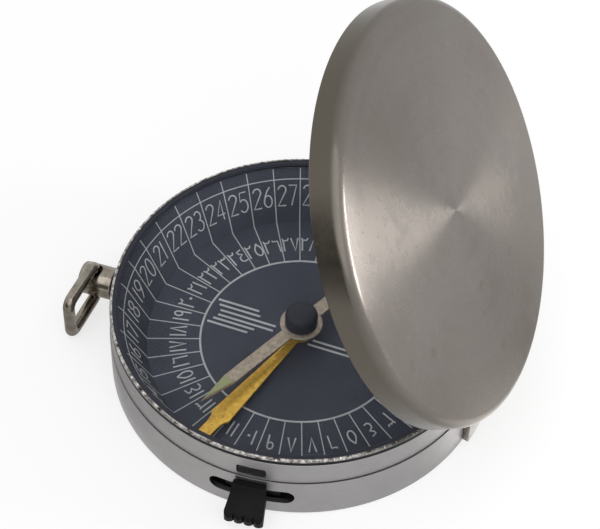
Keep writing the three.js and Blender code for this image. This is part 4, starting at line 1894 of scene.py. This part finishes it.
    @staticmethod
    def _spell(kind: Numerals, number: int, height: float, gap: float) -> list[Stroke]:
        """Lays a number's strokes out round its middle.

        Args:
            kind: Which numerals.
            number: The number.
            height: Height of a numeral in millimetres.
            gap: Space between numerals, as a share of the height.

        Returns:
            Strokes as sideways and upward millimetres.
        """
        pen = NumeralStrokes(kind)
        laid: list[Stroke] = []
        start = 0.0
        for digit in str(number):
            width, strokes = pen.glyph(int(digit))
            laid.extend([(start + x, y) for x, y in stroke] for stroke in strokes)
            start += width + gap
        middle = (start - gap) / 2
        return [[((x - middle) * height, (y - 0.5) * height) for x, y in stroke] for stroke in laid]

    def _numerals(self) -> None:
        """Draws both rings of numbers."""
        slope_length = math.hypot(self.break_radius - self.edge, self.break_level - self.level)
        outer: list[list[Vector]] = []
        inner: list[list[Vector]] = []
        for number in range(1, self.divisions + 1):
            azimuth = 90 + (number - self.number_at_hinge) * 360 / self.divisions
            for stroke in self._spell(Numerals.OUTER, number, self.outer_height, self.outer_gap):
                run = []
                for side, up in stroke:
                    share = self.outer_middle + up / slope_length
                    radius = self.edge + share * (self.break_radius - self.edge)
                    turn = azimuth + math.degrees(side / radius)
                    run.append(self._on_slope(share, turn, self.sink))
                outer.append(run)
            middle = self.wide_middle if number <= self.last_wide else self.inner_middle
            for stroke in self._spell(Numerals.INNER, number, self.inner_height, self.inner_gap):
                run = []
                for side, up in stroke:
                    turn = azimuth + math.degrees(side / (middle + up))
                    run.append(polar(middle + up, turn, self.level - self.sink))
                inner.append(run)
        self._ink("outer_numbers", outer, self.outer_stroke)
        self._ink("inner_numbers", inner, self.inner_stroke)

    def _arrow(self) -> None:
        """Draws the feathered double line across the middle."""
        low = self.level - self.sink
        runs = [[Vector((*start, low)) * MM, Vector((*end, low)) * MM] for start, end in self.shaft]
        self._ink("feathered_line", runs, self.arrow_line, sides=self.arrow_sides)


@dataclass
class Needle:
    """The needle with its luminous tip, dark cap and jewel."""

    bench: Bench
    top: float = 6.93
    cap_radius: float = 2.15
    cap_top: float = 9.23
    hub: float = 1.5
    hub_foot: float = 5.73
    socket: float = 1.0
    socket_top: float = 8.13
    edge: float = 0.8
    foot_edge: float = 0.08
    dish: Pair = (1.0, 0.04)
    bar_edge: float = 0.06
    tip_edge: float = 0.07

    def build(self) -> None:
        """Makes the bar, the tip and the cap."""
        self.bench.refine("needle_bar", Body.NEEDLE, Slot.NICKEL, self.bar_edge)
        self.bench.refine("needle_lume", Body.NEEDLE, Slot.LUME, self.tip_edge)
        e = self.edge
        cap = lathe(
            "needle_cap_fine",
            [
                (0, self.socket_top),
                (self.socket, self.socket_top),
                (self.socket, self.hub_foot),
                (self.hub, self.hub_foot),
                (self.hub, self.top),
                (self.cap_radius - self.foot_edge, self.top),
                (self.cap_radius, self.top + self.foot_edge),
                *arc(self.cap_radius - e, self.cap_top - e, e, e, 0, 90, 8),
                (self.dish[0], self.cap_top),
                (0, self.cap_top - self.dish[1]),
            ],
            steps=SMALL_STEPS,
        )
        self.bench.fit(cap, Body.NEEDLE, Slot.BLACK, "needle_cap", finish=self.bench.finishes.cap)
        self.bench.dress("cap_jewel", Slot.JEWEL)


@dataclass
class Lifter:
    """The brass strip that lifts the needle, with its pin and bracket."""

    bench: Bench
    edge: float = 0.07

    def build(self) -> None:
        """Makes the strip and dresses what carries it."""
        self.bench.refine("needle_lifter", Body.LIFTER, Slot.BRASS, self.edge, "lifter_strip")
        self.bench.dress("lifter_pin", Slot.STEEL)
        self.bench.dress("lifter_bracket", Slot.STEEL)


@dataclass
class LockLever:
    """The thumb lever and the slider inside the wall."""

    bench: Bench
    edge: float = 0.16
    soft_above: float = 24.0

    def build(self) -> None:
        """Makes the lever and dresses the slider."""
        self.bench.refine(
            "lock_lever", Body.LOCK, Slot.BLACK, self.edge, "thumb_lever", self.soft_above
        )
        # The slider takes the near-black steel as painted shade inside the slot.
        self.bench.dress("lock_slider", Slot.STEEL, self.bench.finishes.blackened)


@dataclass
class Lid:
    """The spun lid, both leaves of its hinge and their pin."""

    bench: Bench
    radius: float = 25.95
    foot: float = 11.52
    top: float = 15.52
    wall: float = 0.5
    edge: float = 1.3
    lip: float = 0.12
    inside_loop: float = 12.0
    crown: float = 0.5
    crown_loops: Sequence[int] = range(21, 0, -3)
    hinge: Pair = (26.78, 10.55)
    opened: float = 61.3
    leaf_edge: float = 0.1
    pin_edge: float = 0.1

    def build(self) -> None:
        """Makes the lid and the hinge."""
        e, inner, lip = self.edge, self.edge - self.wall, self.lip
        flat = self.radius - e
        shell = lathe(
            "lid_spun",
            [
                (0, self.top - self.wall),
                (self.inside_loop, self.top - self.wall),
                *arc(flat, self.top - e, inner, inner, 90, 0, 10),
                (self.radius - self.wall, self.foot + lip),
                (self.radius - self.wall + lip, self.foot),
                (self.radius - lip, self.foot),
                (self.radius, self.foot + lip),
                *arc(flat, self.top - e, e, e, 0, 84, 14),
                *((loop, self.top + self.crown * (1 - (loop / flat) ** 2)) for loop in self.crown_loops),
                (0, self.top + self.crown),
            ],
        )
        shell.data.transform(self._swing())
        self.bench.fit(shell, Body.LID, Slot.LID, "lid_shell")
        self.bench.refine("hinge_case_leaf", Body.CASE, Slot.HINGE, self.leaf_edge)
        self.bench.refine("hinge_lid_leaf", Body.LID, Slot.HINGE, self.leaf_edge)
        self.bench.refine("hinge_pin", Body.CASE, Slot.HINGE, self.pin_edge)

    def _swing(self) -> Matrix:
        """Works out the turn from closed to open.

        Returns:
            The turn about the hinge's line.
        """
        line = Vector((self.hinge[0], 0, self.hinge[1])) * MM
        turn = Matrix.Rotation(math.radians(self.opened), 4, "Y")
        return Matrix.Translation(line) @ turn @ Matrix.Translation(-line)


@dataclass
class Bail:
    """The turned post and the wire bail that swings in it."""

    bench: Bench
    case_radius: float = CASE_RADIUS
    level: float = POST_LEVEL
    neck: float = 1.6
    neck_end: float = 1.05
    radius: float = 2.2
    reach: float = 5.85
    tail: float = 1.2
    tail_end: float = -1.7
    end_round: float = 0.6
    head_edge: float = 0.3
    collar: float = 0.1
    cross_x: float = -29.1
    cross_hole: float = 1.15
    wire: float = 0.8
    wire_sides: int = 24
    wire_joint: float = 0.05
    half: float = 3.2
    length: float = 7.4
    corner: float = 1.1
    swung: float = 84.0

    def build(self) -> None:
        """Makes the post and the bail."""
        self._post()
        self._wire()
        self.bench.dress("post_nut", Slot.STEEL)

    def _post(self) -> None:
        """Turns the post along -X and drills its upright hole."""
        e, h, c = self.end_round, self.head_edge, self.collar
        post = lathe(
            "bail_post_fine",
            [
                (0, self.tail_end),
                (self.tail, self.tail_end),
                (self.tail, c),
                (self.neck, c),
                (self.neck, self.neck_end - c),
                (self.neck + c, self.neck_end),
                *arc(self.radius - h, self.neck_end + h, h, h, -90, 0, 6),
                *arc(self.radius - e, self.reach - e, e, e, 0, 90, 8),
                (0, self.reach),
            ],
            steps=SMALL_STEPS,
        )
        along = Matrix.Rotation(-math.pi / 2, 4, "Y")
        root = Vector((-self.case_radius, 0, self.level)) * MM
        post.data.transform(Matrix.Translation(root) @ along)
        drill = prism(
            "drill_tool",
            round_hole(self.cross_x, 0, self.cross_hole),
            self.level - self.radius - CUT_MARGIN,
            self.level + self.radius + CUT_MARGIN,
            lambda a, b, z: Vector((a, b, z)) * MM,
        )
        self.bench.fit(cut(post, drill), Body.CASE, Slot.BAIL, "bail_post")

    def _wire(self) -> None:
        """Sweeps the wire along the stirrup's path."""
        c = self.corner
        run = [
            (0, self.wire_joint),
            (0, (self.half - c) / 2),
            *arc(c, self.half - c, c, c, 180, 90, 10),
            *arc(self.length - c, self.half - c, c, c, 90, 0, 12),
            *arc(self.length - c, c - self.half, c, c, 0, -90, 12),
            *arc(c, c - self.half, c, c, -90, -180, 10),
            (0, (c - self.half) / 2),
            (0, -self.wire_joint),
        ]
        turn = math.radians(self.swung)
        out, side = -math.cos(turn), -math.sin(turn)
        path = [Vector((self.cross_x + u * out, u * side, self.level + v)) * MM for u, v in run]
        bail = wire_frame("bail_wire", [path])
        self.bench.run.set_on(bail, self.wire, self.wire_sides, self.bench.finishes.of(Slot.BAIL))
        self.bench.fit(bake(bail), Body.BAIL, Slot.BAIL, "bail")


# Studio

LID_MIDDLE: Place3 = (18, 0, 36)
WHITE: Colour = (1.0, 1.0, 1.0)


def stand(name: str, data: ID, side: Vector, up: Vector, back: Vector, at: Place3) -> Object:
    """Stands a lamp or a camera in its place.

    Args:
        name: The object's name.
        data: The lamp or the camera.
        side: The way to its right.
        up: The way to its top.
        back: The way behind it.
        at: Its place in millimetres.

    Returns:
        The object.
    """
    place = Matrix((side, up, back)).transposed().to_4x4()
    place.translation = Vector(at) * MM
    thing = put(name, data)
    thing.matrix_world = place
    return thing


@dataclass(frozen=True)
class SoftPanel:
    """A soft lamp, with its place and size in millimetres and its power in watts."""

    name: str
    at: Place3
    aim: Place3
    along: Place3
    size: Pair
    watts: float

    def hang(self) -> None:
        """Hangs the lamp so that it faces its aim and its width runs along its way."""
        data = bpy.data.lights.new(self.name, "AREA")
        data.shape = "RECTANGLE"
        data.size, data.size_y = (length * MM for length in self.size)
        data.energy = self.watts
        back = (Vector(self.at) - Vector(self.aim)).normalized()
        along = Vector(self.along)
        side = (along - along.dot(back) * back).normalized()
        stand(self.name, data, side, back.cross(side), back, self.at)


@dataclass(frozen=True)
class StandingCard:
    """An upright board beside the compass, in millimetres."""

    name: str
    at: Place3
    aim: Place3
    size: Pair
    glow: float

    def rows(self) -> CardRows:
        """Lays the board out.

        Returns:
            Its lower and upper edge in metres, and its brightness along them.
        """
        turn = (Vector(self.aim) - Vector(self.at)).to_track_quat("Z", "Y").to_matrix()
        width, height = self.size
        lower, upper = (
            [(Vector(self.at) + turn @ Vector((width * x, height * y, 0))) * MM for x in (-0.5, 0.5)]
            for y in (-0.5, 0.5)
        )
        return lower, upper, [self.glow, self.glow]


@dataclass(frozen=True)
class RoundCard:
    """A sheet that lies round the case, in millimetres, and fades into the floor at both ends."""

    name: str
    turn: Pair
    glow: float
    radii: Pair = (25.7, 60.0)
    level: float = 0.3
    steps: int = 32

    def rows(self) -> CardRows:
        """Lays the sheet out.

        Returns:
            Its inner and outer edge in metres, and its brightness along them.
        """
        shares = [i / self.steps for i in range(self.steps + 1)]
        first, last = self.turn
        inner, outer = (
            [polar(radius, first + (last - first) * share, self.level) for share in shares]
            for radius in self.radii
        )
        glows = [1.0 + (self.glow - 1.0) * math.sin(math.pi * share) ** 2 for share in shares]
        return inner, outer, glows


@dataclass
class Studio:
    """The camera, the pale floor, the soft lights and the cards that the metal mirrors.

    The floor's half width and drop and the camera's near limit are in metres.
    """

    camera_at: Place3 = (47.13, -163.24, 228.26)
    forward: Place3 = (-0.1763, 0.6053, -0.7762)
    right: Place3 = (0.9601, 0.2797, 0.0)
    roll: float = 1.716
    lens: float = 127.19
    sensor: float = 36.0
    near: float = 0.01
    ambient: float = 0.6
    floor_half: float = 6.0
    floor_drop: float = 0.00005
    floor_tone: Colour = (0.42, 0.42, 0.42)
    floor_glow: float = 0.66
    paper: Colour = (1.0, 0.985, 0.97)
    panels: tuple[SoftPanel, ...] = (
        SoftPanel("side_panel", (227, 60, 65), LID_MIDDLE, (0.377, -0.618, -0.689), (64, 56), 0.205),
        SoftPanel("top_panel", (40, -220, 360), (0, 0, 10), (1, 0, 0), (420, 420), 0.5),
    )
    cards: tuple[StandingCard | RoundCard, ...] = (
        StandingCard("dark_card", (-158, -243, 90), LID_MIDDLE, (300, 160), 0.2),
        RoundCard("grey_card", (180.0, 330.0), 0.55),
        RoundCard("white_card", (66.0, 124.0), 2.0),
    )

    def build(self) -> None:
        """Sets the studio up."""
        self._camera()
        self._floor()
        self._world()
        for panel in self.panels:
            panel.hang()
        for card in self.cards:
            self._card(card)
        bpy.context.scene.view_settings.view_transform = "Standard"

    def _camera(self) -> None:
        """Places the camera at the viewing angle."""
        ahead = Vector(self.forward).normalized()
        side = Vector(self.right).normalized()
        up = side.cross(ahead)
        r = math.radians(self.roll)
        side, up = math.cos(r) * side + math.sin(r) * up, math.cos(r) * up - math.sin(r) * side
        data = bpy.data.cameras.new("viewpoint")
        data.sensor_fit = "HORIZONTAL"
        data.sensor_width = self.sensor
        data.lens = self.lens
        data.clip_start = self.near
        bpy.context.scene.camera = stand("viewpoint", data, side, up, -ahead, self.camera_at)

    def _floor(self) -> None:
        """Lays a pale floor that keeps a soft shadow."""
        far = self.floor_half
        corners = [(-far, -far, 0), (far, -far, 0), (far, far, 0), (-far, far, 0)]
        mesh = bpy.data.meshes.new("floor")
        mesh.from_pydata(corners, [], [(0, 1, 2, 3)])
        mesh.transform(Matrix.Translation((0, 0, -self.floor_drop)))
        floor = put("floor", mesh)
        material, sheet = new_material("pale_floor")
        matt = sheet.add("ShaderNodeBsdfDiffuse", {"Color": self.floor_tone})
        strength = sheet.math("MULTIPLY", self._seen(sheet), self.floor_glow)
        glow = sheet.add("ShaderNodeEmission", {"Color": WHITE, "Strength": strength})
        both = sheet.add("ShaderNodeAddShader", {0: matt.outputs[0], 1: glow.outputs[0]})
        sheet.add("ShaderNodeOutputMaterial", {"Surface": both.outputs[0]})
        mesh.materials.append(material)

    @staticmethod
    def _seen(sheet: Sheet) -> NodeSocket:
        """Tells which rays show the background, also in metal and glass.

        Args:
            sheet: The background's sheet.

        Returns:
            1 for such a ray, 0 for others.
        """
        ray = sheet.add("ShaderNodeLightPath").outputs
        mirror = sheet.math("MAXIMUM", ray["Is Glossy Ray"], ray["Is Transmission Ray"])
        return sheet.math("MAXIMUM", ray["Is Camera Ray"], mirror)

    def _world(self) -> None:
        """Makes a white backdrop and a softer ambient light."""
        world = bpy.data.worlds.new("studio")
        bpy.context.scene.world = world
        world.use_nodes = True
        sheet = Sheet(world.node_tree)
        strength = sheet.math("MULTIPLY_ADD", self._seen(sheet), 1.0 - self.ambient, self.ambient)
        sky = sheet.add("ShaderNodeBackground", {"Color": WHITE, "Strength": strength})
        sheet.add("ShaderNodeOutputWorld", {"Surface": sky.outputs[0]})

    def _card(self, card: StandingCard | RoundCard) -> None:
        """Sets a card beside the object, which only mirrors show.

        Args:
            card: The card.
        """
        first, second, glows = card.rows()
        count = len(first)
        mesh = bpy.data.meshes.new(card.name)
        mesh.from_pydata(
            [tuple(point) for point in first + second],
            [],
            [(i, i + 1, count + i + 1, count + i) for i in range(count - 1)],
        )
        mesh.attributes.new(GLOW, "FLOAT", "POINT").data.foreach_set("value", glows + glows)
        board = put(card.name, mesh)
        material, sheet = new_material(card.name)
        glow = sheet.add("ShaderNodeAttribute", attribute_name=GLOW).outputs["Fac"]
        paper = sheet.add("ShaderNodeEmission", {"Color": self.paper, "Strength": glow})
        sheet.add("ShaderNodeOutputMaterial", {"Surface": paper.outputs[0]})
        mesh.materials.append(material)
        for ray in ("camera", "diffuse", "shadow", "transmission"):
            setattr(board, f"visible_{ray}", False)


# Order of work


def main() -> None:
    """Builds the compass piece by piece."""
    logging.basicConfig(level=logging.INFO, format="%(name)s: %(message)s")
    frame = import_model()
    Studio().build()
    bench = Bench(frame)
    for assembly in (CaseShell, Crystal, Dial, Needle, Lifter, LockLever, Lid, Bail):
        LOG.info("building %s", assembly.__name__)
        assembly(bench).build()


if __name__ == "__main__":
    main()
